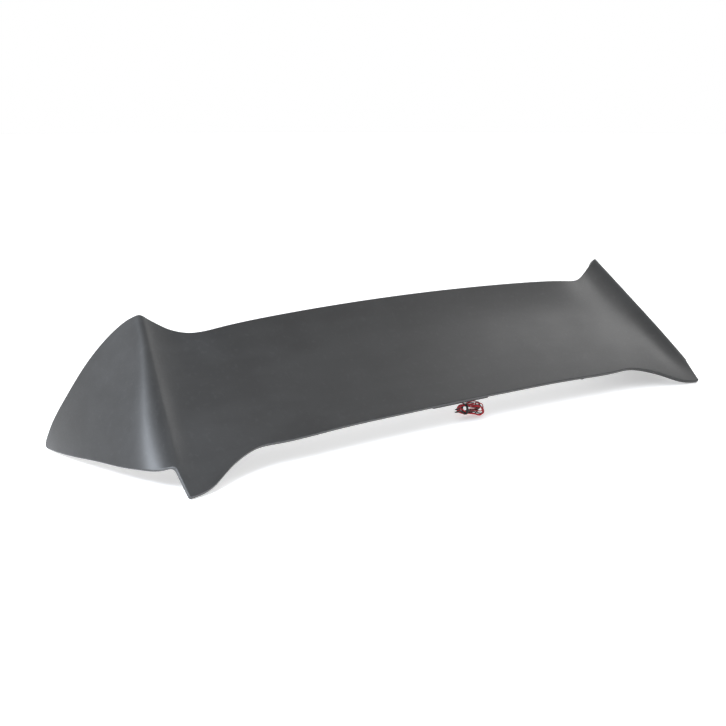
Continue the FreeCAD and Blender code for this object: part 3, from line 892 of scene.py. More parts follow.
@dataclass(frozen=True)
class PrimerFinish:
    """Sprayed and flatted primer on a moulding, with a little dust and rubbed edges."""

    name: str = "grey_primer"
    dark: Triple = (0.0175, 0.0176, 0.0178)
    light: Triple = (0.023, 0.0231, 0.0234)
    dust: Triple = (0.07, 0.071, 0.073)
    rubbed: Triple = (0.12, 0.122, 0.125)

    def build(self) -> bpy.types.Material:
        """Builds the material.

        Returns:
            The material.
        """
        dress = Dresser(self.name)
        clouds = dress.spread(dress.noise(9, 5), 0.36, 0.64, 0, 1)
        passes = dress.noise(26, 3, (0.35, 1.6, 1.6))
        shade = dress.sum(clouds, dress.spread(passes, 0.4, 0.6, -0.5, 0.5), 0.45)
        base = dress.blend(dress.spread(shade, 0, 1, 0, 1), self.dark, self.light)
        specks = dress.spread(dress.noise(2300, 2), 0.68, 0.78, 0, 0.3)
        flecks = dress.spread(dress.noise(140, 6), 0.56, 0.8, 0, 0.16)
        dusty = dress.blend(dress.sum(specks, flecks, 1), base, self.dust)
        wear = dress.spread(dress.sum(dress.attribute("edge"), dress.noise(120, 4), 0.55), 1.1, 1.4, 0, 0.3)
        dress.colour(dress.blend(wear, dusty, self.rubbed))
        fine = dress.spread(dress.noise(420, 3), 0.35, 0.65, -1, 1)
        dress.roughness(dress.sum(dress.spread(clouds, 0, 1, 0.37, 0.43), fine, 0.03))
        dress.bump(dress.noise(5.5, 2), 0.9, 0.3)
        dress.bump(dress.noise(650, 3), 0.02, 0.55)
        dress.bump(dress.noise(1500, 2, (0.25, 1, 1)), 0.006, 0.5)
        dress.set(Specular_IOR_Level=0.5)
        return dress.material


@dataclass(frozen=True)
class FoamFinish:
    """Closed-cell foam: dull, dark and finely pitted, with a cut skin."""

    name: str
    dark: Triple = (0.012, 0.012, 0.013)
    light: Triple = (0.03, 0.03, 0.032)
    pores: float = 1100.0

    def build(self) -> bpy.types.Material:
        """Builds the material.

        Returns:
            The material.
        """
        dress = Dresser(self.name)
        pores = dress.cells(self.pores)
        shade = dress.sum(dress.spread(pores, 0, 0.6, 0, 1), dress.noise(60, 4), 0.6)
        dress.colour(dress.blend(dress.spread(shade, 0.3, 1.3, 0, 1), self.dark, self.light))
        dress.roughness(dress.spread(dress.noise(300, 3), 0.3, 0.7, 0.82, 0.96))
        dress.bump(pores, 0.25, 0.6)
        dress.bump(dress.noise(90, 3), 0.3, 0.4)
        return dress.material


@dataclass(frozen=True)
class MouldedFinish:
    """Moulded plastic, rubber, resin or cured paste: a fine grain and a slightly uneven shine."""

    name: str
    dark: Triple
    light: Triple
    rough: float
    grain: float = 900.0
    grain_depth: float = 0.02
    coat: float = 0.0

    def build(self) -> bpy.types.Material:
        """Builds the material.

        Returns:
            The material.
        """
        dress = Dresser(self.name)
        shade = dress.sum(dress.noise(45, 4), dress.noise(700, 2), 0.3)
        dress.colour(dress.blend(dress.spread(shade, 0.5, 0.8, 0, 1), self.dark, self.light))
        low, high = self.rough - 0.05, self.rough + 0.06
        dress.roughness(dress.spread(dress.noise(220, 4), 0.35, 0.65, low, high))
        dress.bump(dress.noise(self.grain, 3), self.grain_depth, 0.6)
        if self.coat:
            dress.set(Coat_Weight=self.coat, Coat_Roughness=0.12)
        return dress.material


@dataclass(frozen=True)
class MetalFinish:
    """Plated or turned metal, with fine machining marks."""

    name: str
    dark: Triple
    light: Triple
    rough: float
    marks: Triple = (0.2, 1, 1)

    def build(self) -> bpy.types.Material:
        """Builds the material.

        Returns:
            The material.
        """
        dress = Dresser(self.name)
        dress.set(Metallic=1.0)
        shade = dress.noise(160, 4)
        dress.colour(dress.blend(dress.spread(shade, 0.35, 0.65, 0, 1), self.dark, self.light))
        marks = dress.noise(2600, 2, self.marks)
        dress.roughness(dress.spread(marks, 0.3, 0.7, self.rough - 0.07, self.rough + 0.1))
        dress.bump(marks, 0.006, 0.5)
        return dress.material


@dataclass(frozen=True)
class LensFinish:
    """Clear red moulded plastic."""

    name: str = "red_lens"
    colour: Triple = (0.7, 0.014, 0.014)
    flute: float = 0.0025

    def build(self) -> bpy.types.Material:
        """Builds the material.

        Returns:
            The material.
        """
        dress = Dresser(self.name)
        dress.set(Transmission_Weight=0.88, IOR=1.49, Coat_Weight=0.4, Coat_Roughness=0.05)
        flutes = dress.nodes.new("ShaderNodeTexWave")
        flutes.inputs["Scale"].default_value = 0.1 * math.pi / self.flute
        dress.link(dress.place, flutes.inputs["Vector"])
        tint = dress.spread(dress.noise(70, 3), 0.35, 0.65, 0, 0.25)
        dark = tuple(0.8 * channel for channel in self.colour)
        dress.colour(dress.blend(tint, self.colour, dark))
        dress.roughness(dress.spread(dress.noise(500, 4), 0.4, 0.7, 0.06, 0.16))
        dress.bump(flutes.outputs["Fac"], 0.35, 0.8)
        dress.bump(dress.noise(320, 2), 0.01, 0.4)
        return dress.material


# Finishes that are named as their material slots are.
PLAIN_FINISHES: tuple[FoamFinish | MouldedFinish | MetalFinish, ...] = (
    FoamFinish("seal_foam", pores=1500),
    FoamFinish("tape_foam", pores=1300),
    FoamFinish("pad_foam"),
    MouldedFinish("boss_resin", (0.03, 0.03, 0.032), (0.05, 0.05, 0.052), 0.5),
    MouldedFinish("bond_paste", (0.42, 0.38, 0.25), (0.55, 0.5, 0.36), 0.6, 300, 0.2),
    MouldedFinish("rib_laminate", (0.3, 0.32, 0.24), (0.45, 0.46, 0.36), 0.45, 380, 0.15),
    MouldedFinish("grommet_rubber", (0.012, 0.012, 0.012), (0.022, 0.022, 0.023), 0.6),
    MouldedFinish("lamp_black", (0.012, 0.012, 0.012), (0.02, 0.02, 0.021), 0.3),
    MouldedFinish("led_clear", (0.72, 0.66, 0.4), (0.85, 0.8, 0.55), 0.2, coat=0.5),
    MouldedFinish("board_green", (0.008, 0.1, 0.04), (0.015, 0.15, 0.06), 0.28, coat=0.3),
    MouldedFinish("lead_red", (0.5, 0.008, 0.02), (0.62, 0.014, 0.03), 0.33, coat=0.15),
    MouldedFinish("lead_black", (0.011, 0.011, 0.012), (0.02, 0.02, 0.021), 0.36, coat=0.15),
    MouldedFinish("tie_nylon", (0.014, 0.014, 0.015), (0.028, 0.028, 0.03), 0.42),
    MouldedFinish("terminal_sleeve", (0.013, 0.013, 0.014), (0.024, 0.024, 0.025), 0.33),
    MetalFinish("insert_brass", (0.6, 0.42, 0.16), (0.78, 0.58, 0.26), 0.3),
    MetalFinish("reflector_chrome", (0.75, 0.75, 0.76), (0.86, 0.86, 0.87), 0.12),
    MetalFinish("screw_steel", (0.5, 0.5, 0.5), (0.66, 0.66, 0.65), 0.3),
)


class Wardrobe:
    """Every finish of the wing, by material slot."""

    def __init__(self) -> None:
        """Builds the finishes."""
        self.by_slot: dict[str, bpy.types.Material] = {
            "primer": PrimerFinish().build(),
            "lens_red": LensFinish().build(),
        }
        for finish in PLAIN_FINISHES:
            self.by_slot[finish.name] = finish.build()

    def __getitem__(self, slot: str) -> bpy.types.Material:
        """The material of a slot."""
        return self.by_slot[slot]

    def dress_frame(self, nodes: dict[str, bpy.types.Object], record: dict) -> None:
        """Dresses the CAD nodes that stay, each from its slot.

        Args:
            nodes: The CAD nodes by name.
            record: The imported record.
        """
        for entry in record["subparts"]:
            node = nodes[entry["node"]]
            node.data.materials.clear()
            node.data.materials.append(self.by_slot[entry["material_slot"]])


# ---------------------------------------------------------------- studio


@dataclass(frozen=True)
class SoftLight:
    """A soft patch of the room's light, brightest towards one direction."""

    towards: Triple
    focus: float
    colour: Triple


@dataclass(frozen=True)
class SoftBox:
    """A small rectangular light that the camera doesn't see."""

    name: str
    place: Triple
    aim: Triple
    size: Pair
    power: float
    colour: Triple

    def build(self) -> None:
        """Hangs the light, turned to its aim."""
        data = bpy.data.lights.new(self.name, "AREA")
        data.shape = "RECTANGLE"
        data.size, data.size_y = self.size
        data.energy = self.power
        data.color = self.colour
        light = add_object(self.name, data)
        light.location = self.place
        light.rotation_mode = "QUATERNION"
        light.rotation_quaternion = (Vector(self.aim) - Vector(self.place)).to_track_quat("-Z", "Y")
        light.visible_camera = False


@dataclass
class Studio:
    """The camera, the pale floor and the soft light."""

    camera_place: Triple = (-1.292, -1.5186, 0.5323)
    look_yaw: float = -37.72
    look_pitch: float = -12.74
    lens: float = 59.504
    ambient: Triple = (0.62, 0.62, 0.62)
    floor_glow: float = 0.3
    lobes: tuple[SoftLight, ...] = (
        SoftLight((-0.4, -0.1, 0.9), 6, (0.9, 0.94, 1.0)),
        SoftLight((0.45, 0.88, 0.1), 5, (3.4, 3.4, 3.4)),
        SoftLight((-0.88, 0.3, 0.3), 6, (0.8, 0.83, 0.88)),
    )
    boxes: tuple[SoftBox, ...] = (
        SoftBox("left_box", (-0.92, -0.24, 0.5), (-0.54, -0.1, 0.08), (0.46, 0.32), 8.4, (0.84, 0.91, 1.0)),
        SoftBox("right_box", (1.3, -0.15, 0.88), (0.45, -0.04, 0.1), (0.26, 0.8), 3.0, (1.0, 1.0, 1.0)),
    )

    def camera(self) -> bpy.types.Object:
        """Makes the camera.

        Returns:
            The camera object.
        """
        data = bpy.data.cameras.new("view")
        data.lens = self.lens
        data.sensor_width = 36
        camera = add_object("view", data)
        camera.location = self.camera_place
        yaw, pitch = math.radians(self.look_yaw), math.radians(self.look_pitch)
        level = math.cos(pitch)
        towards = Vector((-math.sin(yaw) * level, math.cos(yaw) * level, math.sin(pitch)))
        camera.rotation_mode = "QUATERNION"
        camera.rotation_quaternion = towards.to_track_quat("-Z", "Y")
        bpy.context.scene.camera = camera
        return camera

    def floor(self) -> bpy.types.Object:
        """Makes the floor, a wide disc.

        Returns:
            The floor object.
        """
        mesh = bpy.data.meshes.new("floor")
        draft = bmesh.new()
        bmesh.ops.create_circle(draft, cap_ends=True, segments=96, radius=14)
        draft.to_mesh(mesh)
        draft.free()
        floor = add_object("floor", mesh)
        floor.location.z = -0.0002
        dress = Dresser("floor_paint")
        dress.set(Roughness=0.85, Base_Color=(0.92, 0.92, 0.92, 1))
        dress.set(Emission_Color=(1, 1, 1, 1), Emission_Strength=self.floor_glow)
        mesh.materials.append(dress.material)
        return floor

    def room(self) -> None:
        """Makes the room's light: soft patches for the wing, plain white for the camera."""
        world = bpy.data.worlds.new("soft_room")
        world.use_nodes = True
        nodes, links = world.node_tree.nodes, world.node_tree.links
        direction = nodes.new("ShaderNodeTexCoord").outputs["Generated"]
        total = nodes.new("ShaderNodeCombineXYZ")
        for axis, value in enumerate(self.ambient):
            total.inputs[axis].default_value = value
        total = total.outputs["Vector"]
        for lobe in self.lobes:
            facing = nodes.new("ShaderNodeVectorMath")
            facing.operation = "DOT_PRODUCT"
            links.new(direction, facing.inputs[0])
            facing.inputs[1].default_value = Vector(lobe.towards).normalized()
            held = nodes.new("ShaderNodeMath")
            held.operation = "MAXIMUM"
            links.new(facing.outputs["Value"], held.inputs[0])
            held.inputs[1].default_value = 0
            power = nodes.new("ShaderNodeMath")
            power.operation = "POWER"
            links.new(held.outputs["Value"], power.inputs[0])
            power.inputs[1].default_value = lobe.focus
            tinted = nodes.new("ShaderNodeVectorMath")
            tinted.operation = "SCALE"
            tinted.inputs[0].default_value = lobe.colour
            links.new(power.outputs["Value"], tinted.inputs["Scale"])
            added = nodes.new("ShaderNodeVectorMath")
            added.operation = "ADD"
            links.new(total, added.inputs[0])
            links.new(tinted.outputs["Vector"], added.inputs[1])
            total = added.outputs["Vector"]
        seen = nodes.new("ShaderNodeMix")
        seen.data_type = "RGBA"
        links.new(nodes.new("ShaderNodeLightPath").outputs["Is Camera Ray"], seen.inputs["Factor"])
        links.new(total, seen.inputs[6])
        seen.inputs[7].default_value = (1, 1, 1, 1)
        links.new(seen.outputs[2], nodes["Background"].inputs["Color"])
        bpy.context.scene.world = world

    def build(self) -> None:
        """Makes the whole studio."""
        self.camera()
        self.floor()
        self.room()
        for box in self.boxes:
            box.build()
        bpy.context.scene.view_settings.view_transform = "Standard"


# ---------------------------------------------------------------- leads


@dataclass
class LeadSet:
    """The two leads of the lamp: down from the grommet into a tied hank, with sleeved terminals."""

    wardrobe: Wardrobe
    radius: float = 0.9
    grommet: Triple = (34, 70, -35.5)
    spread: float = 2.0
    turns: int = 5
    length: float = 0.51
    hank_left: float = 25.0
    hank_height: float = 12.0
    left_centre: float = 8.6
    red_folds: tuple[Triple, ...] = (
        (33.5, 3.6, 6.8), (29.0, -3.2, 6.8), (35.8, 1.8, 6.8), (31.6, -2.6, 7.0), (26.4, -1.6, 8.2),
    )
    black_folds: tuple[Triple, ...] = (
        (30.5, 1.2, 6.6), (35.4, 3.2, 6.6), (26.8, -2.4, 6.6), (33.6, -3.0, 6.6), (29.6, 0.4, 6.8),
    )
    column_step: float = 1.95
    fan_step: float = 2.1
    terminal_right: float = 24.9
    terminal_long: float = 11.0
    terminal_y: float = -81.0
    red_terminal: float = 14.6
    black_terminal: float = 10.0
    right_angles: tuple[float, ...] = (90, 58, 22, -22, -58, -90)
    left_angles: tuple[float, ...] = (-90, -130, -165, 165, 130, 90)
    tie_at: float = 34.6
    tie_middle: float = -80.2
    tie_lean: float = 0.35
    tie_half_y: float = 6.2
    tie_half_z: float = 8.4
    tie_head: tuple[Triple, Triple] = ((34.3, -83.2, 19.6), (38.3, -78.8, 22.2))

    def exit(self, lead: Lead) -> Triple:
        """Finds where a lead leaves the grommet.

        Args:
            lead: Which lead.

        Returns:
            The point, in the row's frame.
        """
        x, chord, height = self.grommet
        point = CHORD.to_row(np.array([[x + lead.value * self.spread, chord, height]]))[0]
        return tuple(float(value) for value in point)

    def terminal_height(self, lead: Lead) -> float:
        """Height of a lead's terminal above the floor."""
        return self.red_terminal if lead is Lead.RED else self.black_terminal

    def route_down(self, lead: Lead) -> list[Triple]:
        """The listed points between the grommet and the hank.

        Args:
            lead: Which lead.

        Returns:
            Points in millimetres.
        """
        if lead is Lead.RED:
            return [
                (32, -61.2, 53.2), (31.6, -59.6, 45.6), (31.2, -61.2, 37.9), (31.5, -65.6, 31),
                (32.2, -70.6, 25.6), (33, -73.6, 22.2),
            ]
        return [
            (36.2, -61, 53.1), (37, -59.2, 45.4), (37.8, -60.8, 37.8), (38, -65.8, 31.6),
            (37.8, -71.4, 26.4),
        ]

    def middle_y(self, along: float) -> float:
        """Where the hank's middle line is in Y, at a distance along X from its left end."""
        return float(np.interp(along, (0, 8, 15, 27, 38, 46), (-75.4, -77.6, -80.2, -86, -91, -93.5)))

    def turn(self, lead: Lead, number: int) -> list[Triple]:
        """Points of one turn, which starts at the top of the left fold and runs right.

        Args:
            lead: Which lead.
            number: Which of its turns, from 0.

        Returns:
            Points in millimetres.
        """
        inner = lead is Lead.BLACK
        left_radius = 6.2 if inner else 7.7
        right_end, sag, right_radius = (self.black_folds if inner else self.red_folds)[number]
        path = []
        for share, dip in ((0.3, -1.0), (0.68, -3.2 if number % 2 else 0.6)):
            along = self.left_centre + share * (right_end - self.left_centre)
            path.append((along, dip + left_radius + share * (right_radius + sag - left_radius)))
        for angle in self.right_angles:
            turned = math.radians(angle)
            reach = right_end + right_radius * math.cos(turned)
            path.append((reach, sag + right_radius * math.sin(turned)))
        for share, rise in ((0.65, 0.4 if number % 2 else 3.2), (0.3, 1.0)):
            along = self.left_centre + share * (right_end - self.left_centre)
            path.append((along, rise - left_radius - share * (right_radius - sag - left_radius)))
        for angle in self.left_angles:
            turned = math.radians(angle)
            path.append((self.left_centre + left_radius * math.cos(turned), left_radius * math.sin(turned)))
        points = []
        for index, (along, height) in enumerate(path):
            passed = number + (index + 1) / len(path)
            fan = float(smooth(along, 9, 36))
            left_step = self.column_step * (2.4 - passed)
            right_step = self.fan_step * (4.2 - 2 * passed + (1 if inner else 0))
            flop = 0.35 * max(number - 2, 0) * min(height, 0) * fan
            tangle = fan * math.sin(0.9 * index + 2.3 * number + (1.7 if inner else 0))
            y = self.middle_y(along) + (1 - fan) * left_step + fan * right_step + flop + 1.5 * tangle
            points.append((self.hank_left + along, y, self.hank_height + height))
        return points

    def route(self, lead: Lead) -> list[Triple]:
        """A lead's whole route, in millimetres.

        Args:
            lead: Which lead.

        Returns:
            Points from the grommet to the terminal.
        """
        points = self.route_down(lead)
        for number in range(self.turns):
            points += self.turn(lead, number)
        points = points[: -len(self.left_angles)]
        height = self.terminal_height(lead)
        right = self.terminal_right
        points += [
            (right + 11, -84.2, height - 7), (right + 5.4, -84, height - 2.5), (right + 1.6, -82, height),
            (right - 1.5, self.terminal_y, height),
        ]
        return points

    def cord(self, lead: Lead) -> bpy.types.Object:
        """Makes a lead.

        Args:
            lead: Which lead.

        Returns:
            The lead, one NURBS spline.
        """
        colour = lead.name.lower()
        data = bpy.data.curves.new(f"lead_{colour}", "CURVE")
        data.dimensions = "3D"
        data.bevel_depth = self.radius * MM
        data.bevel_resolution = 3
        data.resolution_u = 5
        data.use_fill_caps = True
        spline = data.splines.new("NURBS")
        start = self.exit(lead)
        points = [start] + [tuple(value * MM for value in point) for point in self.route(lead)]
        spline.points.add(len(points) - 1)
        for target, point in zip(spline.points, points):
            target.co = (*point, 1)
        spline.order_u = 3
        spline.use_endpoint_u = True
        data.materials.append(self.wardrobe[f"lead_{colour}"])
        piece = add_object(f"lead_{colour}", data)
        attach(piece, ROOT)
        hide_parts(f"drop_{colour}", *(["lead_hank"] if lead is Lead.RED else []))
        return piece

    def sleeve(self, lead: Lead) -> bpy.types.Object:
        """Makes a terminal under its shrunk sleeve, lying along X at the hank's left end.

        Args:
            lead: Whose terminal it is.

        Returns:
            The piece.
        """
        colour = lead.name.lower()
        height = self.terminal_height(lead)
        left = self.terminal_right - self.terminal_long
        profile = [
            (0, 0.75), (0.3, 1.0), (1.4, 1.05), (1.7, 0.8), (2.6, 0.8), (2.8, 1.3), (3.2, 1.52),
            (4.2, 1.56), (5.2, 1.5), (6.6, 1.44), (8.2, 1.36), (9.6, 1.16), (10.6, 1.02), (11, 0.98),
        ]
        draft = MeshDraft()
        sides = 24
        rings = []
        for along, radius in profile:
            angles = np.arange(sides) * 2 * math.pi / sides
            y = self.terminal_y + radius * np.cos(angles)
            z = height + radius * np.sin(angles)
            rings.append(draft.add(np.stack([np.full(sides, left + along), y, z], 1) * MM))
        for first, second in zip(rings, rings[1:]):
            draft.strip(first, second)
        draft.faces.append(tuple(rings[0]))
        draft.faces.append(tuple(rings[-1]))
        mesh = draft.mesh(f"terminal_sleeve_{colour}", metres=True)
        smooth_by_angle(mesh, 40)
        slot = "terminal_sleeve"
        return place_piece(f"{slot}_{colour}", mesh, self.wardrobe[slot], slot, f"terminal_{colour}")

    def tie(self) -> bpy.types.Object:
        """Makes the nylon tie round the hank, with its head.

        Returns:
            The piece.
        """
        draft = MeshDraft()
        count = 56
        angles = np.arange(count) * 2 * math.pi / count
        rings = []
        for along, grow in ((0, 0.0), (0, 0.9), (0.25, 1.1), (3.15, 1.1), (3.4, 0.9), (3.4, 0.0)):
            x = np.full(count, self.tie_at + along)
            y = self.tie_middle - self.tie_lean * along + (self.tie_half_y + grow) * np.cos(angles)
            z = self.hank_height + (self.tie_half_z + grow) * np.sin(angles)
            rings.append(draft.add(np.stack([x, y, z], 1) * MM))
        for index, ring in enumerate(rings):
            draft.strip(ring, rings[(index + 1) % len(rings)])
        self.block(draft, *self.tie_head)
        mesh = draft.mesh("tie_band", metres=True)
        smooth_by_angle(mesh, 35)
        piece = place_piece("tie_band", mesh, self.wardrobe["tie_nylon"], "tie_nylon", "hank_tie")
        bevel(piece, 0.35)
        return piece

    @staticmethod
    def block(draft: MeshDraft, low: Triple, high: Triple) -> None:
        """Adds a closed block to a draft in metres.

        Args:
            draft: The draft.
            low: Its lowest corner in millimetres.
            high: Its highest corner in millimetres.
        """
        corners = ((0, 0), (1, 0), (1, 1), (0, 1))
        rings = []
        for z in (low[2], high[2]):
            points = [((low, high)[x][0], (low, high)[y][1], z) for x, y in corners]
            rings.append(draft.add(np.array(points, float) * MM))
        draft.strip(rings[0], rings[1])
        draft.faces += [tuple(rings[0][::-1]), tuple(rings[1])]

    def build(self) -> None:
        """Makes both leads, their terminals and the tie."""
        tie = self.tie()
        for lead in Lead:
            sleeve = self.sleeve(lead)
            piece = self.cord(lead)
            LOG.info("%s and %s laid in the hank held by %s", piece.name, sleeve.name, tie.name)


# ---------------------------------------------------------------- skins


@dataclass
class UpperSkin:
    """The moulding that shows: blade, lip, fins, cheeks and legs in one shell."""

    shape: WingShape
    surface: WingSurface
    wardrobe: Wardrobe
    wall: float = 3.0
    rim: float = 6.0
    rounding: float = 1.1
    lip_inset: float = 3.45
    far_inset: float = 2.4
    fill_inset: float = 4.2
    splay: float = 0.46
    splay_at: Pair = (452, 494)
    lattice: float = 5.0
    ridge_lattice: float = 2.0
    ridge_band: float = 26.0
    wall_rows: int = 7
    tall_wall: float = 12.0
    window_rows: tuple[int, int] = (2, 5)
    window_rim: float = 0.8
    window_low: float = -31.0
    window_high: float = -14.0
    tray_floor: float = 223.0

    def __post_init__(self) -> None:
        """Lays out the outline."""
        self.outline = Outline(self.shape, self.surface)
        self.under = self.shape.under_net()

    def under_height(self, points: np.ndarray) -> np.ndarray:
        """Height of the lower skin's outer surface under points.

        Args:
            points: Chord-frame points.

        Returns:
            One height for each.
        """
        low = np.zeros(len(points))
        high = np.full(len(points), float(self.under.high_v))
        for _ in range(26):
            middle = (low + high) / 2
            short = self.under.point(points[:, 1], middle)[:, 0] < points[:, 0]
            low, high = np.where(short, middle, low), np.where(short, high, middle)
        return self.under.point(points[:, 1], (low + high) / 2)[:, 2]

    def edge_walls(self) -> tuple[np.ndarray, np.ndarray]:
        """Direction and height of the wall that goes down from each point of the outline.

        Returns:
            Unit directions and heights for the right half.
        """
        flat, kind = self.outline.flat, self.outline.kind
        points = self.surface.point(flat)
        inward = -self.surface.normal(flat)
        down = np.tile([0.0, 0.0, -1.0], (len(flat), 1))
        cheek = (kind == Edge.CHEEK.value).astype(float)
        share = self.eased(cheek, 4)[:, None]
        walls = share * inward + (1 - share) * down
        rear = kind == Edge.TRAIL.value
        splay = smooth(points[:, 0], *self.splay_at) * rear
        walls[:, 0] += self.splay * splay
        walls /= np.linalg.norm(walls, axis=1)[:, None]
        front = np.isin(kind, (Edge.LEAD.value, Edge.LEG.value))
        heights = np.where(front, self.rim, self.wall)
        heights = self.eased(heights, 3)
        drop = points[:, 2] - self.under_height(np.minimum(points, [self.shape.under_flat, np.inf, np.inf]))
        drop /= -walls[:, 2] + (1 - rear) * 2
        heights = np.where(rear, drop, heights)
        return walls, heights

    @staticmethod
    def eased(values: np.ndarray, passes: int) -> np.ndarray:
        """Evens out a step in values along the outline.

        Args:
            values: The values, in order.
            passes: How often each moves towards its neighbours.

        Returns:
            The evened values.
        """
        for _ in range(passes):
            padded = np.concatenate([values[:1], values, values[-1:]])
            values = (padded[:-2] + 2 * values + padded[2:]) / 4
        return values

    def inset(self, distance: float) -> np.ndarray:
        """The closed outline moved inwards over the surface, laid out flat.

        Args:
            distance: How far, in millimetres.

        Returns:
            Pairs of p and q.
        """
        flat = self.outline.whole(self.outline.flat, True)
        ahead = np.roll(flat, -1, 0) - np.roll(flat, 1, 0)
        ahead /= np.linalg.norm(ahead, axis=1)[:, None]
        return flat + distance * np.stack([-ahead[:, 1], ahead[:, 0]], 1)

    def lattice_points(self, border: np.ndarray) -> np.ndarray:
        """Inner points of the flat layout, closer together across the ridge.

        Args:
            border: The closed border that they keep clear of.

        Returns:
            Pairs of p and q.
        """
        ridge, band = self.surface.ridge_p, self.ridge_band
        edges = (0, ridge - band, ridge + band, border[:, 0].max())
        steps = (self.lattice, self.ridge_lattice, self.lattice)
        across = [
            np.linspace(low, high, int((high - low) / step) + 1)[1:]
            for low, high, step in zip(edges, edges[1:], steps)
        ]
        half = np.concatenate(across)
        whole = np.concatenate([-half[::-1], [0], half])
        along = np.arange(border[:, 1].min(), border[:, 1].max(), self.lattice)
        grid = np.stack(np.meshgrid(whole, along), -1).reshape(-1, 2)
        inside = np.zeros(len(grid), bool)
        clear = np.full(len(grid), 1e9)
        for start, end in zip(border, np.roll(border, -1, 0)):
            crosses = (start[1] > grid[:, 1]) != (end[1] > grid[:, 1])
            if crosses.any():
                at = start[0] + (grid[:, 1] - start[1]) * (end[0] - start[0]) / (end[1] - start[1] + 1e-12)
                inside ^= crosses & (grid[:, 0] < at)
            near = (grid[:, 0] - start[0]) ** 2 + (grid[:, 1] - start[1]) ** 2
            clear = np.minimum(clear, near)
        return grid[inside & (clear > (0.6 * self.outline.step) ** 2)]

    def interior(self, border: np.ndarray) -> tuple[np.ndarray, list[tuple[int, ...]]]:
        """Fills the border with a mesh, laid out flat.

        Args:
            border: The closed border.

        Returns:
            The points, the border's first, and the faces.
        """
        points = np.vstack([border, self.lattice_points(border)])
        count = len(border)
        ring = [(index, (index + 1) % count) for index in range(count)]
        result = delaunay_2d_cdt([Vector(point) for point in points], ring, [], 1, 1e-5)
        made, faces, sources = result[0], result[2], result[3]
        if len(made) != len(points):
            LOG.warning("the fill has %d points for %d", len(made), len(points))
        order = [source[0] if source else index for index, source in enumerate(sources)]
        return points, [tuple(order[index] for index in face) for face in faces]

    def mesh(self) -> bpy.types.Mesh:
        """Builds the shell's mesh.

        Returns:
            A closed mesh, with an attribute that says how near an edge each vertex is.
        """
        draft = MeshDraft()
        walls, heights = self.edge_walls()
        walls = self.outline.whole(walls, True)
        heights = self.outline.whole(heights[:, None], False)[:, 0]
        r = self.rounding
        near_edge: list[np.ndarray] = []

        def ring(points: np.ndarray, edge: float) -> np.ndarray:
            """Adds a ring and notes how near the edge it is.

            Args:
                points: The ring's points.
                edge: 1 at the edge, 0 away from it.

            Returns:
                The numbers of its vertices.
            """
            near_edge.append(np.full(len(points), edge))
            return draft.add(points)

        rings = {distance: self.inset(distance) for distance in (r, self.far_inset, self.fill_inset)}
        outer_far = ring(self.surface.point(rings[self.far_inset]), 0.35)
        outer_near = ring(self.surface.point(rings[r]), 0.8)
        edge = self.surface.point(self.outline.whole(self.outline.flat, True))
        back = self.surface.point(rings[r]) - edge
        back /= np.linalg.norm(back, axis=1)[:, None]
        previous = outer_near
        draft.strip(outer_far, outer_near)
        for angle in (30, 60, 90):
            turned = math.radians(angle)
            arc = edge + r * (1 - math.sin(turned)) * back + r * (1 - math.cos(turned)) * walls
            now = ring(arc, 1.0)
            draft.strip(previous, now)
            previous = now
        columns = [previous]
        bottom = heights - 0.6 * r
        for row in range(1, self.wall_rows + 1):
            share = self.row_share(row, edge, bottom)
            nearness = 0.9 if row == self.wall_rows else 0.3
            columns.append(ring(edge + (r + share * (bottom - r))[:, None] * walls, nearness))
        self.wall_with_window(draft, columns)
        previous = columns[-1]
        for angle in (45, 90):
            turned = math.radians(angle)
            drop = bottom + 0.6 * r * math.sin(turned)
            arc = edge + 0.6 * r * (1 - math.cos(turned)) * back + drop[:, None] * walls
            now = ring(arc, 0.8)
            draft.strip(previous, now)
            previous = now
        lip = edge + self.lip_inset * back + heights[:, None] * walls
        now = ring(lip, 0.2)
        draft.strip(previous, now)
        inner = self.surface.point(rings[self.fill_inset])
        inner -= self.wall * self.surface.normal(rings[self.fill_inset])
        inner_ring = ring(inner, 0.0)
        draft.strip(now, inner_ring)
        flat, faces = self.interior(rings[self.fill_inset])
        count = len(rings[self.fill_inset])
        surface_points, normals = self.surface.point(flat), self.surface.normal(flat)
        outer = ring(surface_points, 0.0)
        draft.strip(outer[:count], outer_far)
        inner_fill = surface_points[count:] - self.wall * normals[count:]
        lower = np.concatenate([inner_ring, ring(inner_fill, 0.0)])
        draft.faces += [tuple(outer[index] for index in face) for face in faces]
        draft.faces += [tuple(lower[index] for index in reversed(face)) for face in faces]
        mesh = draft.mesh("upper_shell")
        layer = mesh.attributes.new("edge", "FLOAT", "POINT")
        values = np.concatenate(near_edge + [np.zeros(draft.count - sum(map(len, near_edge)))])
        layer.data.foreach_set("value", values.astype(np.float32))
        normals = np.zeros((draft.count, 3))
        for numbers, layout in ((outer, flat), (outer_far, rings[self.far_inset])):
            normals[numbers] = CHORD.turned(self.surface.soft_normal(layout))
        mesh.normals_split_custom_set_from_vertices(normals.tolist())
        return mesh

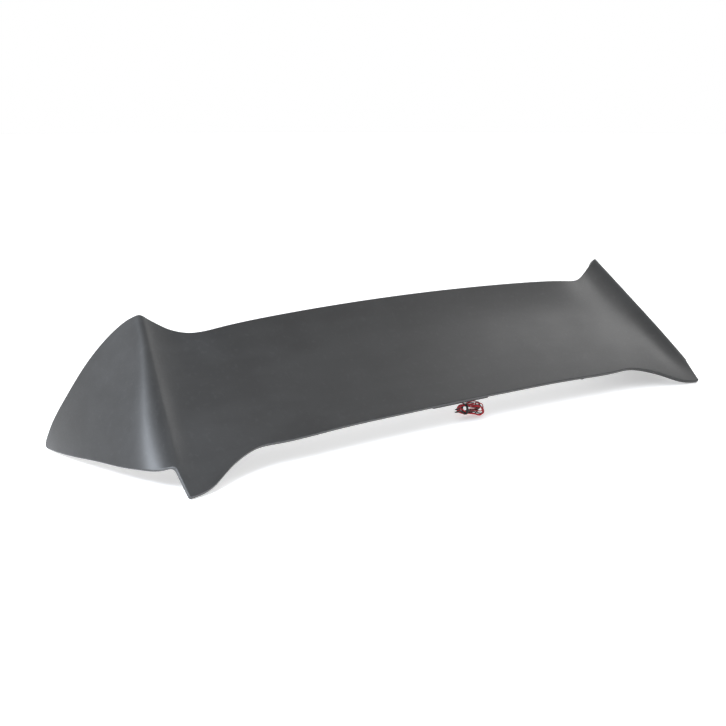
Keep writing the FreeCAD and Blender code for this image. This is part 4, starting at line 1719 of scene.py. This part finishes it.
    def row_share(self, row: int, edge: np.ndarray, bottom: np.ndarray) -> np.ndarray:
        """How far down the wall a row lies; two rows follow the lamp window's long sides.

        Args:
            row: The row's number, from 1.
            edge: Points of the outline.
            bottom: Where the wall ends below each of them.

        Returns:
            Shares from 0 to 1.
        """
        height = bottom - self.rounding
        across = np.abs(edge[:, 0])
        tall = height > self.tall_wall
        lamp = tall & (across < self.outline.window_half + 0.5)
        far = smooth(across, self.outline.window_half + 6, 300)
        anchors = [(0, np.zeros(len(edge)))]
        for number, level in zip(self.window_rows, (self.window_high, self.window_low)):
            share = (edge[:, 2] - self.rounding - level) / np.maximum(height, 1)
            plain = number / self.wall_rows
            value = np.where(lamp, share, share[lamp].mean())
            value = value + (plain - value) * far
            anchors.append((number, np.where(tall, value, plain)))
        anchors.append((self.wall_rows, np.ones(len(edge))))
        (low, first), (high, second) = next(
            pair for pair in zip(anchors, anchors[1:]) if pair[0][0] <= row <= pair[1][0]
        )
        return first + (row - low) / (high - low) * (second - first)

    def wall_with_window(self, draft: MeshDraft, columns: list[np.ndarray]) -> None:
        """Joins the wall's rows, leaving out the lamp window, and sinks a tray into the window.

        Args:
            draft: The mesh's draft.
            columns: The wall's rows, from the top.
        """
        first_row, last_row = self.window_rows
        middle = len(self.outline.flat) - 1
        reach = middle - self.outline.window
        for row, (upper, lower) in enumerate(zip(columns, columns[1:])):
            for index in range(len(upper)):
                if middle - reach <= index < middle + reach and first_row <= row < last_row:
                    continue
                after = (index + 1) % len(upper)
                draft.faces.append((upper[index], upper[after], lower[after], lower[index]))
        span = np.arange(middle - reach, middle + reach + 1)
        between = range(first_row + 1, last_row)
        left = [columns[row][span[-1]] for row in between]
        right = [columns[row][span[0]] for row in between]
        loop = np.concatenate([columns[first_row][span], left, columns[last_row][span][::-1], right[::-1]])
        rim_points = np.vstack(draft.points)[loop]
        floor_points = rim_points.copy()
        rim_points[:, 1] -= self.window_rim
        floor_points[:, 1] = self.tray_floor
        near = draft.add(rim_points)
        floor = draft.add(floor_points)
        draft.strip(loop, near)
        draft.strip(near, floor)
        size = len(span)
        low_side = slice(size + 2, 2 * size + 2)
        high_points, low_points = floor_points[:size], floor_points[low_side][::-1]
        floor_left, floor_right = floor[size : size + 2], floor[2 * size + 2 :][::-1]
        rows = [floor[:size]]
        for step in range(2):
            part = (step + 1) / 3
            inner = draft.add((high_points * (1 - part) + low_points * part)[1:-1])
            rows.append(np.concatenate([[floor_right[step]], inner, [floor_left[step]]]))
        rows.append(floor[low_side][::-1])
        for first, second in zip(rows, rows[1:]):
            draft.strip(first, second, closed=False)

    def build(self) -> bpy.types.Object:
        """Makes the upper skin."""
        return place_piece("upper_shell", self.mesh(), self.wardrobe["primer"], "primer", "upper_skin")


# ---------------------------------------------------------------- smaller parts


@dataclass
class LedRow:
    """The lamp's row of square chips: one drawn, the rest laid by Geometry Nodes."""

    wardrobe: Wardrobe
    count: int = 12
    pitch: float = 21.0
    half: float = 2.5
    middle: float = -22.5
    board: float = 227.6
    top: float = 229.2
    window: float = 1.9
    sides: int = 32

    def outline(self, half: float, roundness: float) -> np.ndarray:
        """A closed outline between a circle and a square.

        Args:
            half: Half of its width.
            roundness: 1 for a circle, towards 0 for a square.

        Returns:
            X and height of each point, about the chip's middle.
        """
        angles = (np.arange(self.sides) + 0.5) * 2 * math.pi / self.sides
        flat = np.stack([np.cos(angles), np.sin(angles)], 1)
        return half * np.sign(flat) * np.abs(flat) ** roundness

    def chip(self) -> bpy.types.Mesh:
        """Draws the chip at the row's left end.

        Returns:
            Its mesh.
        """
        draft = MeshDraft()
        rows = (
            (self.board, self.half, 0.3),
            (self.top - 0.35, self.half, 0.3),
            (self.top - 0.2, self.half - 0.15, 0.34),
            (self.top - 0.2, self.window + 0.1, 1.0),
            (self.top - 0.3, self.window, 1.0),
            (self.top, 0.9, 1.0),
        )
        rings = []
        for chord, half, roundness in rows:
            flat = self.outline(half, roundness)
            left = -(self.count - 1) / 2 * self.pitch
            points = np.stack([left + flat[:, 0], np.full(self.sides, chord), self.middle + flat[:, 1]], 1)
            rings.append(draft.add(points))
        for first, second in zip(rings, rings[1:]):
            draft.strip(first, second)
        draft.faces += [tuple(rings[0]), tuple(rings[-1])]
        mesh = draft.mesh("led_chip")
        smooth_by_angle(mesh, 35)
        return mesh

    def laid_out(self, chip: bpy.types.Mesh, material: bpy.types.Material) -> bpy.types.Mesh:
        """Repeats the chip along X.

        Args:
            chip: The first chip.
            material: What every chip is dressed in.

        Returns:
            One mesh with every chip.
        """
        tree = bpy.data.node_groups.new("led_row", "GeometryNodeTree")
        tree.interface.new_socket("Geometry", in_out="INPUT", socket_type="NodeSocketGeometry")
        count = tree.interface.new_socket("Count", in_out="INPUT", socket_type="NodeSocketInt")
        step = tree.interface.new_socket("Step", in_out="INPUT", socket_type="NodeSocketVector")
        tree.interface.new_socket("Geometry", in_out="OUTPUT", socket_type="NodeSocketGeometry")
        entry, end = tree.nodes.new("NodeGroupInput"), tree.nodes.new("NodeGroupOutput")
        line = tree.nodes.new("GeometryNodeMeshLine")
        placed = tree.nodes.new("GeometryNodeInstanceOnPoints")
        real = tree.nodes.new("GeometryNodeRealizeInstances")
        dressed = tree.nodes.new("GeometryNodeSetMaterial")
        dressed.inputs["Material"].default_value = material
        tree.links.new(entry.outputs["Count"], line.inputs["Count"])
        tree.links.new(entry.outputs["Step"], line.inputs["Offset"])
        tree.links.new(line.outputs["Mesh"], placed.inputs["Points"])
        tree.links.new(entry.outputs["Geometry"], placed.inputs["Instance"])
        tree.links.new(placed.outputs["Instances"], real.inputs["Geometry"])
        tree.links.new(real.outputs["Geometry"], dressed.inputs["Geometry"])
        tree.links.new(dressed.outputs["Geometry"], end.inputs["Geometry"])
        holder = add_object("led_row", chip)
        modifier = holder.modifiers.new("row", "NODES")
        modifier.node_group = tree
        modifier[count.identifier] = self.count
        modifier[step.identifier] = (self.pitch * MM, 0.0, 0.0)
        bpy.context.view_layer.update()
        made = bpy.data.meshes.new_from_object(holder.evaluated_get(bpy.context.evaluated_depsgraph_get()))
        bpy.data.objects.remove(holder)
        return made

    def build(self) -> bpy.types.Object:
        """Makes the row."""
        material = self.wardrobe["led_clear"]
        mesh = self.laid_out(self.chip(), material)
        return place_piece("led_chips", mesh, material, "led_clear", "lamp_leds")


@dataclass(frozen=True)
class RoundedCopy:
    """A smaller part drawn from its CAD node, with joined faces and rounded edges."""

    node: str
    slot: str
    width: float
    foam: bool = False

    def build(self, wardrobe: Wardrobe) -> bpy.types.Object:
        """Makes the part.

        Args:
            wardrobe: The finishes.

        Returns:
            The piece.
        """
        mesh = frame["nodes"][self.node].data.copy()
        mesh.name = f"{self.node}_rounded"
        draft = bmesh.new()
        draft.from_mesh(mesh)
        bmesh.ops.remove_doubles(draft, verts=draft.verts, dist=1e-6)
        bmesh.ops.dissolve_limit(draft, angle_limit=math.radians(0.3), verts=draft.verts, edges=draft.edges)
        bmesh.ops.recalc_face_normals(draft, faces=draft.faces)
        draft.to_mesh(mesh)
        draft.free()
        mesh.shade_smooth()
        smooth_by_angle(mesh, 35)
        piece = place_piece(mesh.name, mesh, wardrobe[self.slot], self.slot, self.node)
        if self.width:
            bevel(piece, self.width)
        return piece


ROUNDED_PARTS: tuple[RoundedCopy, ...] = (
    RoundedCopy("lower_skin", "primer", 0.0),
    RoundedCopy("mount_boss_left", "boss_resin", 0.6),
    RoundedCopy("mount_boss_right", "boss_resin", 0.6),
    RoundedCopy("boss_seal_left", "seal_foam", 0.5, foam=True),
    RoundedCopy("boss_seal_right", "seal_foam", 0.5, foam=True),
    RoundedCopy("insert_left", "insert_brass", 0.25),
    RoundedCopy("insert_right", "insert_brass", 0.25),
    RoundedCopy("centre_pad", "pad_foam", 0.5, foam=True),
    RoundedCopy("lead_grommet", "grommet_rubber", 0.5),
    RoundedCopy("lamp_housing", "lamp_black", 0.3),
    RoundedCopy("lamp_lens", "lens_red", 0.4),
    RoundedCopy("lamp_gasket", "seal_foam", 0.0),
    RoundedCopy("lamp_reflector", "reflector_chrome", 0.1),
    RoundedCopy("lamp_screws", "screw_steel", 0.15),
    RoundedCopy("lamp_board", "board_green", 0.1),
)


# ---------------------------------------------------------------- build


def main() -> None:
    """Builds the studio, the leads and every piece of the wing."""
    logging.basicConfig(level=logging.INFO, format="%(message)s")
    Studio().build()
    wardrobe = Wardrobe()
    wardrobe.dress_frame(frame["nodes"], frame["record"])
    LeadSet(wardrobe).build()
    shape = WingShape()
    surface = WingSurface(shape)
    UpperSkin(shape, surface, wardrobe).build()
    LedRow(wardrobe).build()
    for part in ROUNDED_PARTS:
        part.build(wardrobe)


if __name__ == "__main__":
    main()
